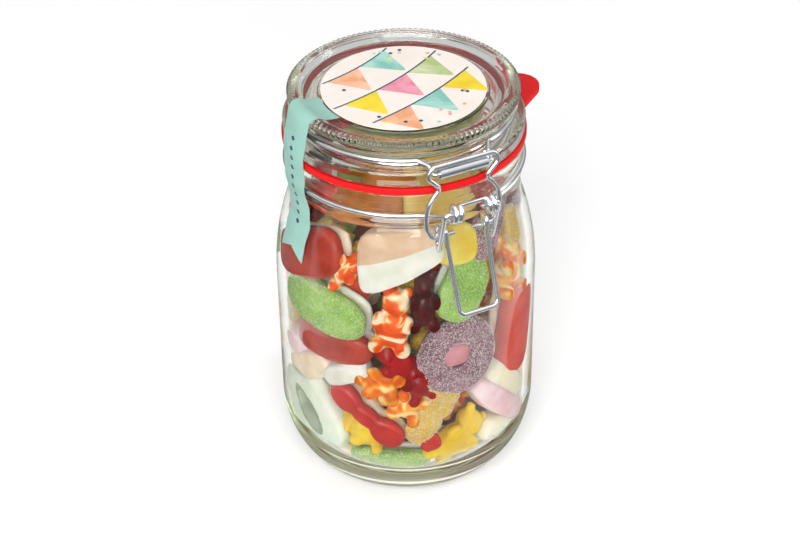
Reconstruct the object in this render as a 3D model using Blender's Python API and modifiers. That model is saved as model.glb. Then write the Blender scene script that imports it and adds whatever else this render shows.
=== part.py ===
"""A clip-top preserving jar of gummy sweets.

The jar stands on the plane z = 0 with the glass's axis on Z.  The wire latch is at the
front (-Y), its wire hinge at the back (+Y), the gasket's pull tab at the right (+X) and
the paper strip that seals lid to jar at the left (-X).  Lengths below are in millimetres
and become metres when a mesh is made.
"""

import math
import random

import bmesh
import bpy
from mathutils import Matrix, Vector

MM = 0.001

# Driving dimensions (mm)
BODY_R = 55.0
BASE_R = 38.5
WALL = 3.4
FLOOR_Z = 7.0
NECK_R = 47.7
MOUTH_R = 41.0
RIM_R = 49.2
RIM_Z = 157.5
GAP = 0.3
GASKET_R = 50.0
GASKET_T = 3.0
LID_BASE_Z = RIM_Z + GASKET_T + 2 * GAP
LID_TOP_Z = 179.7
HEAD_R = 47.1
LABEL_R = 33.6
STRIP_WIDTH = 17.8
STRIP_END_Z = 114.0

WIRE_R = 1.0
RING_WIRE_R = 1.05
RING_Z = 147.7
RING_R = NECK_R - 0.1 + RING_WIRE_R + GAP
LID_WIRE_Z = 170.7
LID_WIRE_R = 45.3
LATCH_OUT = 51.4
CROSSBAR_Z = 171.45
ROLLER_Z = 168.0
ROLLER_R = 2.1
PIVOT_OUT = 59.2
PIVOT_Z = 153.5
LINK_PIN_Z = 139.2
HINGE_OUT = 57.0
EYE_R = 3.1
EYE_START = 5.8
EYE_PITCH = 2.35

ROUND_STEPS = 40
TAB_ANGLE = math.radians(6.5)

for old in list(bpy.data.objects):
    bpy.data.objects.remove(old, do_unlink=True)

jar_collection = bpy.data.collections.new("gummy_jar")
bpy.context.scene.collection.children.link(jar_collection)
sweets_collection = bpy.data.collections.new("sweets_to_join")
bpy.context.scene.collection.children.link(sweets_collection)


def make_material(name, color, roughness, metallic=0.0, transmission=0.0):
    material = bpy.data.materials.new(name)
    material.use_nodes = True
    shader = material.node_tree.nodes["Principled BSDF"]
    shader.inputs["Base Color"].default_value = (*color, 1.0)
    shader.inputs["Roughness"].default_value = roughness
    shader.inputs["Metallic"].default_value = metallic
    shader.inputs["Transmission Weight"].default_value = transmission
    return material


GLASS = make_material("clear_glass", (0.90, 0.94, 0.90), 0.03, transmission=1.0)
RUBBER = make_material("red_rubber", (0.80, 0.02, 0.02), 0.45)
STEEL = make_material("zinc_steel", (0.62, 0.65, 0.67), 0.25, metallic=1.0)
LABEL_PAPER = make_material("label_paper", (0.92, 0.90, 0.86), 0.5)
STRIP_PAPER = make_material("mint_paper", (0.35, 0.68, 0.60), 0.5)
SWEETS = make_material("fruit_gum", (0.80, 0.35, 0.20), 0.4)


def place(obj, material, smooth=True):
    """Put a finished object in the jar's collection with its material and shading."""
    jar_collection.objects.link(obj)
    obj.data.materials.append(material)
    if smooth and obj.type == "MESH":
        obj.data.shade_smooth()
    return obj


def arc(center, radii, start, end, steps):
    """Points of an arc of an ellipse, angles in degrees from the first axis."""
    points = []
    for i in range(steps + 1):
        angle = math.radians(start + (end - start) * i / steps)
        x = center[0] + radii[0] * math.cos(angle)
        points.append((x, center[1] + radii[1] * math.sin(angle)))
    return points


def turned(name, profile, material, steps=ROUND_STEPS):
    """Revolve an (r, z) profile that runs down its outer side about Z."""
    mesh = bpy.data.meshes.new(name)
    vertices = [(r * MM, 0.0, z * MM) for r, z in profile]
    edges = [(i, i + 1) for i in range(len(profile) - 1)]
    if profile[0][0] > 0.0:
        edges.append((len(profile) - 1, 0))
    mesh.from_pydata(vertices, edges, [])
    obj = bpy.data.objects.new(name, mesh)
    screw = obj.modifiers.new("turn", "SCREW")
    screw.steps = steps
    screw.render_steps = steps
    screw.use_merge_vertices = True
    screw.merge_threshold = 0.00005
    screw.use_smooth_shade = True
    return place(obj, material, smooth=False)


def rounded_path(corners, max_turn=30.0):
    """Replace each corner of a path by an arc.  A corner is (x, y, z) or (x, y, z, radius)."""
    path = [Vector(corners[0][:3])]
    for before, corner, after in zip(corners, corners[1:], corners[2:]):
        point = Vector(corner[:3])
        if len(corner) == 3:
            path.append(point)
            continue
        back = (Vector(before[:3]) - point).normalized()
        ahead = (Vector(after[:3]) - point).normalized()
        half = back.angle(ahead) / 2
        reach = corner[3] / math.tan(half)
        middle = point + (back + ahead).normalized() * corner[3] / math.sin(half)
        first = (point + back * reach - middle).normalized()
        last = (point + ahead * reach - middle).normalized()
        steps = max(1, math.ceil(math.degrees(math.pi - 2 * half) / max_turn))
        for i in range(steps + 1):
            path.append(middle + first.slerp(last, i / steps) * corner[3])
    path.append(Vector(corners[-1][:3]))
    return path


def front(points):
    """Turn (across, outward, up, ...) at the latch side into (x, y, z, ...)."""
    return [(p[0], -p[1], *p[2:]) for p in points]


def back(points):
    """Turn (across, outward, up, ...) at the hinge side into (x, y, z, ...)."""
    return [tuple(p) for p in points]


def mirrored(points):
    """The other half of a symmetric path, from its far end to the middle."""
    return [(-p[0], *p[1:]) for p in reversed(points)]


def wire(name, path, radius, origin=(0.0, 0.0, 0.0), closed=False):
    """A round wire along a path; its origin lies on the joint it turns about."""
    curve = bpy.data.curves.new(name, "CURVE")
    curve.dimensions = "3D"
    curve.bevel_depth = radius * MM
    curve.bevel_resolution = 2
    curve.use_fill_caps = True
    spline = curve.splines.new("POLY")
    spline.points.add(len(path) - 1)
    spline.use_cyclic_u = closed
    for spot, point in zip(spline.points, path):
        spot.co = (*((Vector(point) - Vector(origin)) * MM), 1.0)
    obj = bpy.data.objects.new(name, curve)
    obj.location = Vector(origin) * MM
    return place(obj, STEEL)


def jar_profile():
    """Inner floor, inner wall, rim, neck with its wire groove, shoulder, body and heel."""
    inner_r = BODY_R - WALL
    inside = [(0.0, FLOOR_Z)]
    inside += arc((inner_r - 19.0, FLOOR_Z + 25.0), (19.0, 25.0), -90, 0, 4)
    inside += arc((BODY_R - 108.0, 93.0), (108.0 - WALL, 108.0 - WALL), 0, 19.5, 3)
    inside += [(43.2, 137.0), (41.6, 143.0), (MOUTH_R, 148.0), (MOUTH_R, RIM_Z - 0.6)]
    rim = [(MOUTH_R + 0.6, RIM_Z), (RIM_R - 0.6, RIM_Z), (RIM_R, RIM_Z - 0.6)]
    rim += [(RIM_R, RIM_Z - 3.4), (NECK_R + 0.7, RIM_Z - 4.2)]
    groove = [(NECK_R + 0.6, RING_Z + 2.3), (NECK_R - 0.1, RING_Z + 1.3)]
    groove += [(NECK_R - 0.1, RING_Z - 1.6)]
    bead = arc((NECK_R - 0.4, RING_Z - 4.4), (1.5, 1.7), 62, -62, 2)
    neck = [(NECK_R, RING_Z - 7.6), (NECK_R, RING_Z - 12.2)]
    shoulder = arc((BODY_R - 108.0, 93.0), (108.0, 108.0), 20.3, 0, 4)
    heel = arc((BODY_R - 20.0, 31.0), (20.0, 31.0), 0, -80, 5)
    return inside + rim + groove + bead + neck + shoulder + heel + [(BASE_R, 0.0), (0.0, 0.0)]


def lid_profile():
    """Recessed top, ribbed head, groove for the lid wire, flange, locating lip, underside."""
    top = [(0.0, 177.2), (34.2, 177.2), (34.7, 176.8), (40.2, 176.8), (41.4, 177.9)]
    top += [(42.3, 179.3), (43.2, LID_TOP_Z), (44.4, LID_TOP_Z)]
    head = [(HEAD_R - 0.2, 178.4), (HEAD_R, 177.4), (HEAD_R - 0.5, 174.4), (45.9, 173.3)]
    groove = arc((LID_WIRE_R, LID_WIRE_Z), (1.3, 1.5), 115, 240, 4)
    flange = [(48.4, 167.6), (49.4, 166.4), (49.4, LID_BASE_Z + 0.7), (48.7, LID_BASE_Z)]
    lip = [(40.5, LID_BASE_Z), (40.2, 158.8), (38.8, 158.6), (38.3, 160.5)]
    under = arc((34.4, 169.0), (3.2, 3.0), 0, 90, 2)
    return top + head + groove + flange + lip + under + [(0.0, 172.0)]


def eye_path(pivot_out, pivot_up):
    """One and a half coils of the neck ring round a pivot pin, from its bar to the neck."""
    points = []
    steps = 14
    for i in range(steps + 1):
        turn = 1.5 * i / steps
        angle = math.pi / 2 - turn * 2 * math.pi
        across = EYE_START + EYE_PITCH * turn
        out = pivot_out + EYE_R * math.cos(angle)
        points.append((across, out, pivot_up + EYE_R * math.sin(angle)))
    return points


def circle_path(radius, height, start, end, steps):
    """Points round the jar's axis; angles in degrees, 0 at +X."""
    points = []
    for i in range(steps + 1):
        angle = math.radians(start + (end - start) * i / steps)
        points.append((radius * math.cos(angle), radius * math.sin(angle), height))
    return points


def neck_ring_path():
    """The closed ring: front bar, eye, round the right side, back eye, bar, and mirrored."""
    reach = math.degrees(math.asin(17.0 / RING_R))
    to_neck = [(9.9, 54.5, 149.9), (11.4, 51.0, 148.6)]
    front_half = eye_path(PIVOT_OUT, PIVOT_Z) + to_neck
    back_half = eye_path(HINGE_OUT, PIVOT_Z) + to_neck[1:]
    right = front(front_half) + circle_path(RING_R, RING_Z, -90 + reach, 90 - reach, 18)
    right += back(back_half)[::-1]
    return right + mirrored(right)


def lid_wire_path():
    """One wire from pin to pin: hinge legs, both sides of the lid groove, and the roller."""
    leave = math.degrees(math.asin(15.4 / LID_WIRE_R))
    roller_half = [(0.0, LATCH_OUT, ROLLER_Z), (12.9, LATCH_OUT, ROLLER_Z, 1.6)]
    roller_half += [(13.0, 47.2, 169.9, 2.0)]
    leg = [(13.2, 48.8, LID_WIRE_Z, 2.2), (12.6, 53.2, 167.0, 3.0)]
    leg += [(11.9, HINGE_OUT, PIVOT_Z, 1.8), (4.4, HINGE_OUT, PIVOT_Z)]
    side = circle_path(LID_WIRE_R, LID_WIRE_Z, -90 + leave, 90 - leave, 16)
    right = front(roller_half) + side + back(leg)
    return rounded_path(mirrored(right)[:-1] + right[1:])


def link_path():
    """The vase-shaped link: crossbar over the roller, waist, bulge and the two pins."""
    half = [(0.0, CROSSBAR_Z), (13.6, CROSSBAR_Z, 2.2), (15.9, 167.8, 2.2), (13.0, 164.6)]
    half += [(9.9, 161.4, 1.9), (13.0, 158.2), (15.4, 154.4, 6.0), (16.3, 149.6)]
    half += [(16.2, 144.0, 4.0), (14.0, LINK_PIN_Z, 2.4), (4.0, LINK_PIN_Z - 0.2)]
    points = front([(p[0], LATCH_OUT, *p[1:]) for p in half])
    return rounded_path(mirrored(points)[:-1] + points[1:])


def lever_path():
    """The lever: pivot pins, strands down to a U-turn, arches over the link's pins, handle."""
    pin = [(4.0, PIVOT_OUT, PIVOT_Z), (11.9, PIVOT_OUT, PIVOT_Z, 1.5)]
    strand = [(12.0, 55.2, 138.6), (11.8, 53.9, 134.0, 1.7), (10.6, 50.0, 134.4, 1.7)]
    arch = [(10.2, LATCH_OUT - 2.8, 141.2), (9.6, LATCH_OUT - 2.4, 143.0, 1.3)]
    arch += [(9.1, LATCH_OUT + 2.4, 143.0, 1.6), (8.9, 55.0, 136.4)]
    handle = [(8.5, 65.7, 108.8, 2.8), (0.0, 65.8, 108.7)]
    half = front(pin + strand + arch + handle)
    return rounded_path(half[:-1] + mirrored(half)[1:])


def flat_ring(name, outline, hole, bottom, thickness, material):
    """A flat outline with a round hole, as a filled 2D curve with an extrusion."""
    curve = bpy.data.curves.new(name, "CURVE")
    curve.dimensions = "2D"
    curve.fill_mode = "BOTH"
    curve.extrude = thickness / 2 * MM
    for loop in (outline, hole):
        spline = curve.splines.new("POLY")
        spline.points.add(len(loop) - 1)
        spline.use_cyclic_u = True
        for spot, point in zip(spline.points, loop):
            spot.co = (point[0] * MM, point[1] * MM, 0.0, 1.0)
    obj = bpy.data.objects.new(name, curve)
    obj.location.z = (bottom + thickness / 2) * MM
    return place(obj, material)


def gasket_outline():
    """The gasket's round edge with the rounded pull tab standing out of it."""
    tab = [(49.0, -15.3)] + arc((56.7, 0.0), (9.4, 9.4), -62, 62, 8) + [(49.0, 15.3)]
    turn = Matrix.Rotation(TAB_ANGLE, 2)
    outline = [tuple(turn @ Vector(p)) for p in tab]
    edge = math.degrees(math.asin(15.3 / GASKET_R)) + 2.5
    offset = math.degrees(TAB_ANGLE)
    outline += arc((0.0, 0.0), (GASKET_R, GASKET_R), offset + edge, offset + 360 - edge, 34)
    return outline


def make_label():
    bpy.ops.mesh.primitive_cylinder_add(vertices=ROUND_STEPS, radius=LABEL_R * MM, depth=0.3 * MM)
    label = bpy.context.object
    label.name = "round_label"
    label.location.z = (177.2 + GAP + 0.15) * MM
    label.users_collection[0].objects.unlink(label)
    place(label, LABEL_PAPER, smooth=False)


def strip_profile():
    """(r, z) of the strip's inner face, from the label's edge over the rim down the side."""
    over = [(34.6, 177.6), (41.0, 178.6), (43.2, 180.1), (44.8, 180.1), (47.4, 178.8)]
    lid_side = [(47.6, 177.2), (47.4, 173.8), (49.9, 166.6), (50.4, 163.0), (50.4, 157.2)]
    neck = [(50.0, 152.4), (50.45, 148.6), (50.3, 146.4), (49.3, 142.4), (48.4, 138.6)]
    shoulder = arc((BODY_R - 108.0, 93.0), (108.4, 108.4), 20.6, 11.2, 6)
    return over + lid_side + neck + shoulder


def make_strip():
    """The paper strip, laid over the rim and down the neck, with a swallow-tailed end."""
    columns = 3
    profile = strip_profile()
    bpy.ops.mesh.primitive_grid_add(x_subdivisions=columns, y_subdivisions=len(profile) - 1)
    strip = bpy.context.object
    strip.name = "paper_strip"
    for vertex in strip.data.vertices:
        station = round((1.0 - vertex.co.y) / 2 * (len(profile) - 1))
        across = -1.2 + vertex.co.x * STRIP_WIDTH / 2
        r, z = profile[station]
        if station == len(profile) - 1:
            z = STRIP_END_Z + 4.0 * (1.0 - abs(vertex.co.x))
        elif z < STRIP_END_Z + 5.0:
            z = STRIP_END_Z + 5.0
        vertex.co = (-math.sqrt(r * r - across * across) * MM, across * MM, z * MM)
    strip.data.flip_normals()
    strip.users_collection[0].objects.unlink(strip)
    paper = strip.modifiers.new("paper", "SOLIDIFY")
    paper.thickness = 0.25 * MM
    paper.offset = 1.0
    place(strip, STRIP_PAPER)
    return strip


def make_roller():
    bore_r = WIRE_R + 0.35
    half = 10.6
    profile = [(ROLLER_R, half), (ROLLER_R, -half), (bore_r, -half), (bore_r, half)]
    roller = turned("roller", profile, STEEL, steps=16)
    roller.rotation_euler.y = math.pi / 2
    roller.location = Vector((0.0, -LATCH_OUT, ROLLER_Z)) * MM


# Sweets that show at the front.  Each row: kind, degrees from the front (+ towards the
# tab), height of the middle, then width, height and thickness, and the tilt in degrees.
FRONT_SWEETS = [
    ("block", -27, 126, 37, 21, 12, -8),
    ("block", -74, 124, 24, 20, 11, 10),
    ("pebble", -2, 133, 15, 19, 10, 20),
    ("strand", 27, 130, 9, 34, 9, -38),
    ("bear", 34, 110, 15, 25, 10, 10),
    ("pebble", 2, 110, 18, 30, 11, -32),
    ("strand", -66, 100, 34, 13, 11, 28),
    ("bear", -34, 98, 16, 27, 11, 5),
    ("bear", -16, 106, 10, 23, 10, -10),
    ("strand", -66, 83, 31, 14, 10, 14),
    ("ring", -3, 78, 34, 34, 10, 0),
    ("strand", -12, 49, 15, 28, 10, 12),
    ("bear", -36, 68, 25, 17, 10, 20),
    ("strand", -46, 50, 38, 15, 10, 42),
    ("ring", -79, 45, 26, 40, 9, -18),
    ("block", 39, 73, 20, 34, 12, -10),
    ("block", 27, 47, 30, 15, 11, 35),
    ("pebble", -2, 32, 26, 19, 12, -14),
    ("strand", -36, 23, 36, 13, 11, 0),
    ("pebble", 24, 27, 20, 13, 10, 0),
    ("block", -72, 65, 26, 12, 9, 0),
    ("block", 56, 42, 20, 16, 10, 15),
    ("block", -47, 151, 22, 9, 8, 0),
    ("pebble", -15, 151, 16, 9, 8, 0),
]
BACK_ROWS = (30, 58, 86, 112, 136)
PRESSED = 1.7
BACK_KINDS = ("strand", "pebble", "block", "bear", "strand")


def inner_radius(z):
    """Radius inside the glass at height z, less a little air."""
    if z > 140.0:
        return MOUTH_R - 0.6
    if z > 93.0:
        edge = 108.0 - WALL
        r = BODY_R - 108.0 + math.sqrt(edge * edge - (z - 93.0) ** 2)
        return min(r, MOUTH_R + (140.0 - z) * 0.55 + 0.9) - 0.6
    if z < FLOOR_Z + 25.0:
        rise = min(1.0, (FLOOR_Z + 25.0 - z) / 25.0)
        return BODY_R - WALL - 19.0 + 19.0 * math.sqrt(1.0 - rise * rise) - 0.6
    return BODY_R - WALL - 0.6


def lay_on_glass(mesh, angle, height, thickness, tilt):
    """Bend a piece made in the XZ plane to the glass, squeezed flat where it meets it."""
    turn = math.radians(tilt)
    for vertex in mesh.vertices:
        x, depth, z = vertex.co
        across = x * math.cos(turn) - z * math.sin(turn)
        up = max(height + x * math.sin(turn) + z * math.cos(turn), FLOOR_Z + 0.6)
        r = inner_radius(up) + min(0.0, PRESSED - thickness / 2 - depth)
        turned_by = math.radians(angle) + across / inner_radius(height)
        vertex.co = (r * math.sin(turned_by) * MM, -r * math.cos(turned_by) * MM, up * MM)


def soft_block(size, squareness, middle_z=0.0):
    """A closed pillow of the given size: a sphere pushed out towards a box."""
    shape = bmesh.new()
    bmesh.ops.create_uvsphere(shape, u_segments=8, v_segments=4, radius=1.0)
    for vertex in shape.verts:
        powers = [math.copysign(abs(c) ** squareness, c) for c in vertex.co]
        vertex.co = [power * length / 2 for power, length in zip(powers, size)]
        vertex.co.z += middle_z
    mesh = bpy.data.meshes.new("sweet")
    shape.to_mesh(mesh)
    shape.free()
    return mesh


def soft_ring(width, thickness, height):
    """A flat oval ring that stands on its edge."""
    bpy.ops.mesh.primitive_torus_add(
        major_segments=10, minor_segments=5, major_radius=0.34, minor_radius=0.16
    )
    ring = bpy.context.object
    mesh = ring.data
    bpy.data.objects.remove(ring)
    mesh.transform(Matrix.Rotation(math.pi / 2, 4, "X"))
    mesh.transform(Matrix.Diagonal((width, thickness / 0.32, height, 1.0)))
    return mesh


def sweet_meshes(kind, width, height, thickness):
    """The closed shapes that make one sweet, standing in the XZ plane round the origin."""
    if kind == "ring":
        return [soft_ring(width, thickness, height)]
    if kind == "bear":
        body = soft_block((width, thickness, height * 0.62), 0.8, -height * 0.19)
        head = soft_block((width * 0.8, thickness * 0.9, height * 0.48), 0.8, height * 0.26)
        return [body, head]
    squareness = {"block": 0.6, "pebble": 0.9, "strand": 0.7}[kind]
    return [soft_block((width, thickness, height), squareness)]


def all_sweets():
    """The front rows as placed, then the sides and back filled row by row."""
    rows = list(FRONT_SWEETS)
    draw = random.Random(11)
    for level, middle in enumerate(BACK_ROWS):
        for step in range(4):
            angle = 92 + step * 44 + (level % 2) * 20 + draw.uniform(-5, 5)
            kind = BACK_KINDS[(level + 2 * step) % len(BACK_KINDS)]
            width = draw.uniform(22, 32)
            height = draw.uniform(15, 21)
            rows.append((kind, angle, middle, width, height, 10, draw.uniform(-30, 30)))
    return rows


def make_heap():
    """A core inside the glass with the sweets that show fused on it, in one solid."""
    body = BODY_R - WALL - 2.6
    core = [(0.0, 169.0), (27.0, 168.6), (34.0, 165.6), (37.0, 159.0), (39.0, 146.0)]
    core += [(42.6, 132.0), (46.6, 116.0), (body, 95.0), (body, 32.0), (45.0, 19.0)]
    core += [(36.5, 10.5), (29.0, FLOOR_Z + 0.5), (0.0, FLOOR_Z + 0.5)]
    heap = turned("candy_heap", core, SWEETS, steps=20)
    for index, (kind, angle, z, width, height, thickness, tilt) in enumerate(all_sweets()):
        for mesh in sweet_meshes(kind, width, height, thickness):
            lay_on_glass(mesh, angle, z, thickness, tilt)
            piece = bpy.data.objects.new(f"sweet_{index:02d}", mesh)
            sweets_collection.objects.link(piece)
    join = heap.modifiers.new("join", "BOOLEAN")
    join.operation = "UNION"
    join.operand_type = "COLLECTION"
    join.collection = sweets_collection
    join.solver = "EXACT"
    bpy.context.view_layer.update()
    evaluated = heap.evaluated_get(bpy.context.evaluated_depsgraph_get())
    joined = bpy.data.meshes.new_from_object(evaluated)
    heap.modifiers.clear()
    heap.data = joined
    for piece in list(sweets_collection.objects):
        bpy.data.objects.remove(piece, do_unlink=True)
    bpy.data.collections.remove(sweets_collection)


def build():
    turned("glass_jar", jar_profile(), GLASS)
    turned("glass_lid", lid_profile(), GLASS)
    hole = arc((0.0, 0.0), (41.6, 41.6), 0, 351, ROUND_STEPS - 1)
    flat_ring("gasket", gasket_outline(), hole, RIM_Z + GAP, GASKET_T, RUBBER)
    wire("neck_ring", neck_ring_path(), RING_WIRE_R, closed=True)
    wire("lid_wire", lid_wire_path(), WIRE_R)
    make_roller()
    wire("link", link_path(), WIRE_R, origin=(0.0, -LATCH_OUT, LINK_PIN_Z))
    wire("lever", lever_path(), WIRE_R, origin=(0.0, -PIVOT_OUT, PIVOT_Z))
    make_label()
    make_strip()
    make_heap()


build()
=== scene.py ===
import math
import random

import bpy
import numpy as np
from mathutils import Matrix, Quaternion, Vector


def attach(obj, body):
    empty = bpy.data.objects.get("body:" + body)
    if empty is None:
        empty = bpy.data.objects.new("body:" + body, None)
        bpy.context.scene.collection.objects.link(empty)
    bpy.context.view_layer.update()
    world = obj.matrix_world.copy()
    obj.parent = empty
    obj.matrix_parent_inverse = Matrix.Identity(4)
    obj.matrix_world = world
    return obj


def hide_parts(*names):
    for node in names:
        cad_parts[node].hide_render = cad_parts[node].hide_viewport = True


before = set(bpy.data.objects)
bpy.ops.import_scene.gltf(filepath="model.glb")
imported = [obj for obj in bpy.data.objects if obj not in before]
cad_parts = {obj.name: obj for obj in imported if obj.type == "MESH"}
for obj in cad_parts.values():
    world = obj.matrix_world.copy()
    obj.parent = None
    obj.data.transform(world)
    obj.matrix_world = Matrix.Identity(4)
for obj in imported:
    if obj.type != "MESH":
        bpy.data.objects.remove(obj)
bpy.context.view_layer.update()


# Camera.  A long lens looks down on the jar from a little left of the latch, and leans
# by less than a degree.
bpy.context.scene.view_settings.view_transform = "Standard"
view_azimuth = math.radians(-26.3)
view_height = math.radians(35.07)
view_target = Vector((0.0, 0.0, 0.0893))
view_distance = 0.8657
toward_camera = Vector((
    math.sin(view_azimuth) * math.cos(view_height),
    -math.cos(view_azimuth) * math.cos(view_height),
    math.sin(view_height),
))
lens = bpy.data.cameras.new("camera")
lens.lens = 91.1
lens.shift_x = -0.0073
camera = bpy.data.objects.new("camera", lens)
bpy.context.scene.collection.objects.link(camera)
camera.location = view_target + toward_camera * view_distance
camera.rotation_mode = "QUATERNION"
lean = Quaternion((0.0, 0.0, 1.0), math.radians(-0.73))
camera.rotation_quaternion = (-toward_camera).to_track_quat("-Z", "Y") @ lean
bpy.context.scene.camera = camera


# Studio.  A pale floor, a white room with a darker ceiling, and three soft boxes.  The
# floor's colour is painted grey where it is seen through glass, and painted dark and white
# by position where it is seen in glints and reflections: painted reflections of dark flags
# and a white card that keep the jar clear of glare.  A patch of light table under the jar
# lights the thick base.
SHUT = -100.0


def shade(red, green, blue):
    """A colour given as display values from 0 to 255, as Blender's linear colour."""
    levels = []
    for value in (red, green, blue):
        level = value / 255
        levels.append(level / 12.92 if level <= 0.04045 else ((level + 0.055) / 1.055) ** 2.4)
    return (*levels, 1.0)


def new_material(name):
    material = bpy.data.materials.new(name)
    material.use_nodes = True
    return material, material.node_tree, material.node_tree.nodes["Principled BSDF"]


def feed(tree, target, inputs):
    """Give a node's sockets their values, or link them to other nodes' sockets."""
    for socket, source in inputs.items():
        if isinstance(source, bpy.types.NodeSocket):
            tree.links.new(source, target.inputs[socket])
        else:
            target.inputs[socket].default_value = source


def add_node(tree, kind, inputs, operation=None):
    """A shader node with its sockets fed."""
    made = tree.nodes.new("ShaderNode" + kind)
    if operation:
        made.operation = operation
    feed(tree, made, inputs)
    return made


def graded(tree, along, start, end, easing="LINEAR"):
    """A level that changes along a socket from start to end, each given as (place, level)."""
    grade = tree.nodes.new("ShaderNodeMapRange")
    grade.interpolation_type = easing
    places = {"Value": along, "From Min": start[0], "From Max": end[0]}
    feed(tree, grade, {**places, "To Min": start[1], "To Max": end[1]})
    return grade.outputs["Result"]


def banded(tree, along, stops, easing="LINEAR"):
    """A colour that changes along a socket; stops are (place from 0 to 1, colour)."""
    ramp = add_node(tree, "ValToRGB", {"Fac": along})
    ramp.color_ramp.interpolation = easing
    bands = ramp.color_ramp.elements
    for number, (at, colour) in enumerate(stops):
        band = bands[number] if number < 2 else bands.new(at)
        band.position = at
        band.color = colour
    return ramp.outputs["Color"]


def mixed(tree, factor, first, second, kind="FLOAT"):
    """The second value or colour blended over the first by a factor."""
    mix = tree.nodes.new("ShaderNodeMix")
    mix.data_type = kind
    feed(tree, mix, {"Factor": factor, "A": first, "B": second})
    return mix.outputs["Result"]


def flagged(tree, plain, through, inside, mirror):
    """A level: plain, through for what glass lets past, inside for glints within glass and
    mirror for what shiny skins throw back."""
    path = tree.nodes.new("ShaderNodeLightPath").outputs
    diffuse, passed, glossy = path["Diffuse Depth"], path["Transmission Depth"], path["Glossy Depth"]
    level = plain
    for value, gate, blocked_by in (
        (through, passed, (diffuse,)),
        (inside, glossy, (diffuse,)),
        (mirror, glossy, (diffuse, passed)),
    ):
        for other in blocked_by:
            shut = add_node(tree, "Math", {0: other, 1: SHUT, 2: gate}, "MULTIPLY_ADD")
            shut.use_clamp = True
            gate = shut.outputs[0]
        level = mixed(tree, gate, level, value)
    return level


bpy.ops.object.select_all(action="DESELECT")
bpy.ops.mesh.primitive_plane_add(size=6.0)
floor = bpy.context.object
floor.name = "floor"
floor_paint, floor_tree, floor_shader = new_material("white_floor")
floor_place = floor_tree.nodes.new("ShaderNodeTexCoord").outputs["Object"]
front_way = Vector((toward_camera.x, toward_camera.y, 0.0)).normalized()
floor_ahead = add_node(floor_tree, "VectorMath", {0: floor_place, 1: front_way}, "DOT_PRODUCT")
floor_reach = add_node(floor_tree, "VectorMath", {0: floor_place}, "LENGTH")
# Painted reflections: seen in glints within glass, the floor's colour goes from light to dark towards
# the front; seen in reflections, it runs dark, white, then dark; seen through glass, it is painted
# grey.
floor_painted_glint_shade = graded(floor_tree, floor_ahead.outputs["Value"], (0.045, 0.85), (0.080, 0.14))
painted_reflection_levels = ((0.025, 0.24), (0.050, 0.72), (0.080, 0.72), (0.150, 0.07))
painted_reflection_stops = [(ahead, (level, level, level, 1.0)) for ahead, level in painted_reflection_levels]
floor_painted_reflection = banded(floor_tree, floor_ahead.outputs["Value"], painted_reflection_stops)
floor_level = flagged(floor_tree, plain=0.84, through=0.50, inside=floor_painted_glint_shade, mirror=floor_painted_reflection)
feed(floor_tree, floor_shader, {
    "Base Color": floor_level,
    "Roughness": 0.9,
    "Emission Color": (1.0, 1.0, 1.0, 1.0),
    "Emission Strength": graded(floor_tree, floor_reach.outputs["Value"], (0.034, 0.85), (0.039, 0.0)),
})
floor.data.materials.append(floor_paint)

world = bpy.data.worlds.new("white_room")
world.use_nodes = True
room = world.node_tree
room_way = room.nodes.new("ShaderNodeTexCoord").outputs["Generated"]
room_up = add_node(room, "SeparateXYZ", {"Vector": room_way}).outputs["Z"]
room_ceiling = graded(room, room_up, (0.15, 1.05), (0.95, 0.50))
room_rise = graded(room, room_up, (0.05, 0.26), (0.85, 1.0), "SMOOTHSTEP")
room_light = flagged(room, plain=room_ceiling, through=0.68, inside=0.60, mirror=room_rise)
feed(room, room.nodes["Background"], {"Color": (1.0, 1.0, 1.0, 1.0), "Strength": room_light})
bpy.context.scene.world = world

# Light is passed on many times inside thick glass before it comes out again.
bpy.context.scene.cycles.max_bounces = 28
bpy.context.scene.cycles.transmission_bounces = 28
bpy.context.scene.cycles.glossy_bounces = 18

soft_boxes = [
    ("key_box", (-0.75, -1.15, 0.95), (1.30, 1.10), 34.0),
    ("right_box", (0.80, -0.35, 0.45), (0.12, 0.90), 2.2),
    ("top_box", (0.10, 0.10, 1.30), (0.90, 0.90), 2.0),
]
for name, place, size, power in soft_boxes:
    lamp = bpy.data.lights.new(name, "AREA")
    lamp.shape = "RECTANGLE"
    lamp.size, lamp.size_y = size
    lamp.energy = power
    holder = bpy.data.objects.new(name, lamp)
    bpy.context.scene.collection.objects.link(holder)
    holder.location = place
    holder.rotation_euler = (view_target - Vector(place)).to_track_quat("-Z", "Y").to_euler()


# Jar body.  Pressed soda-lime glass, faintly green, turned to a round shoulder over a
# straight wall with a deep rounded heel, and thick in the base.
MM = 0.001
MERGE = 0.000005
BEND_STEP = 8.0
BODY_R = 55.0
WALL = 3.4
FLOOR_Z = 7.0
NECK_R = 47.7
MOUTH_R = 41.0
RIM_R = 49.2
RIM_Z = 157.5
RING_Z = 147.7
HEEL_R = 19.0
HEEL_RISE = 25.0
SHOULDER_Z = 93.0
SHOULDER_R = 108.0


def sweep(center, radii, start, end, steps):
    """Points of an arc of an ellipse in mm, angles in degrees from the first axis."""
    points = []
    for i in range(steps + 1):
        angle = math.radians(start + (end - start) * i / steps)
        points.append((center[0] + radii[0] * math.cos(angle), center[1] + radii[1] * math.sin(angle)))
    return points


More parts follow.
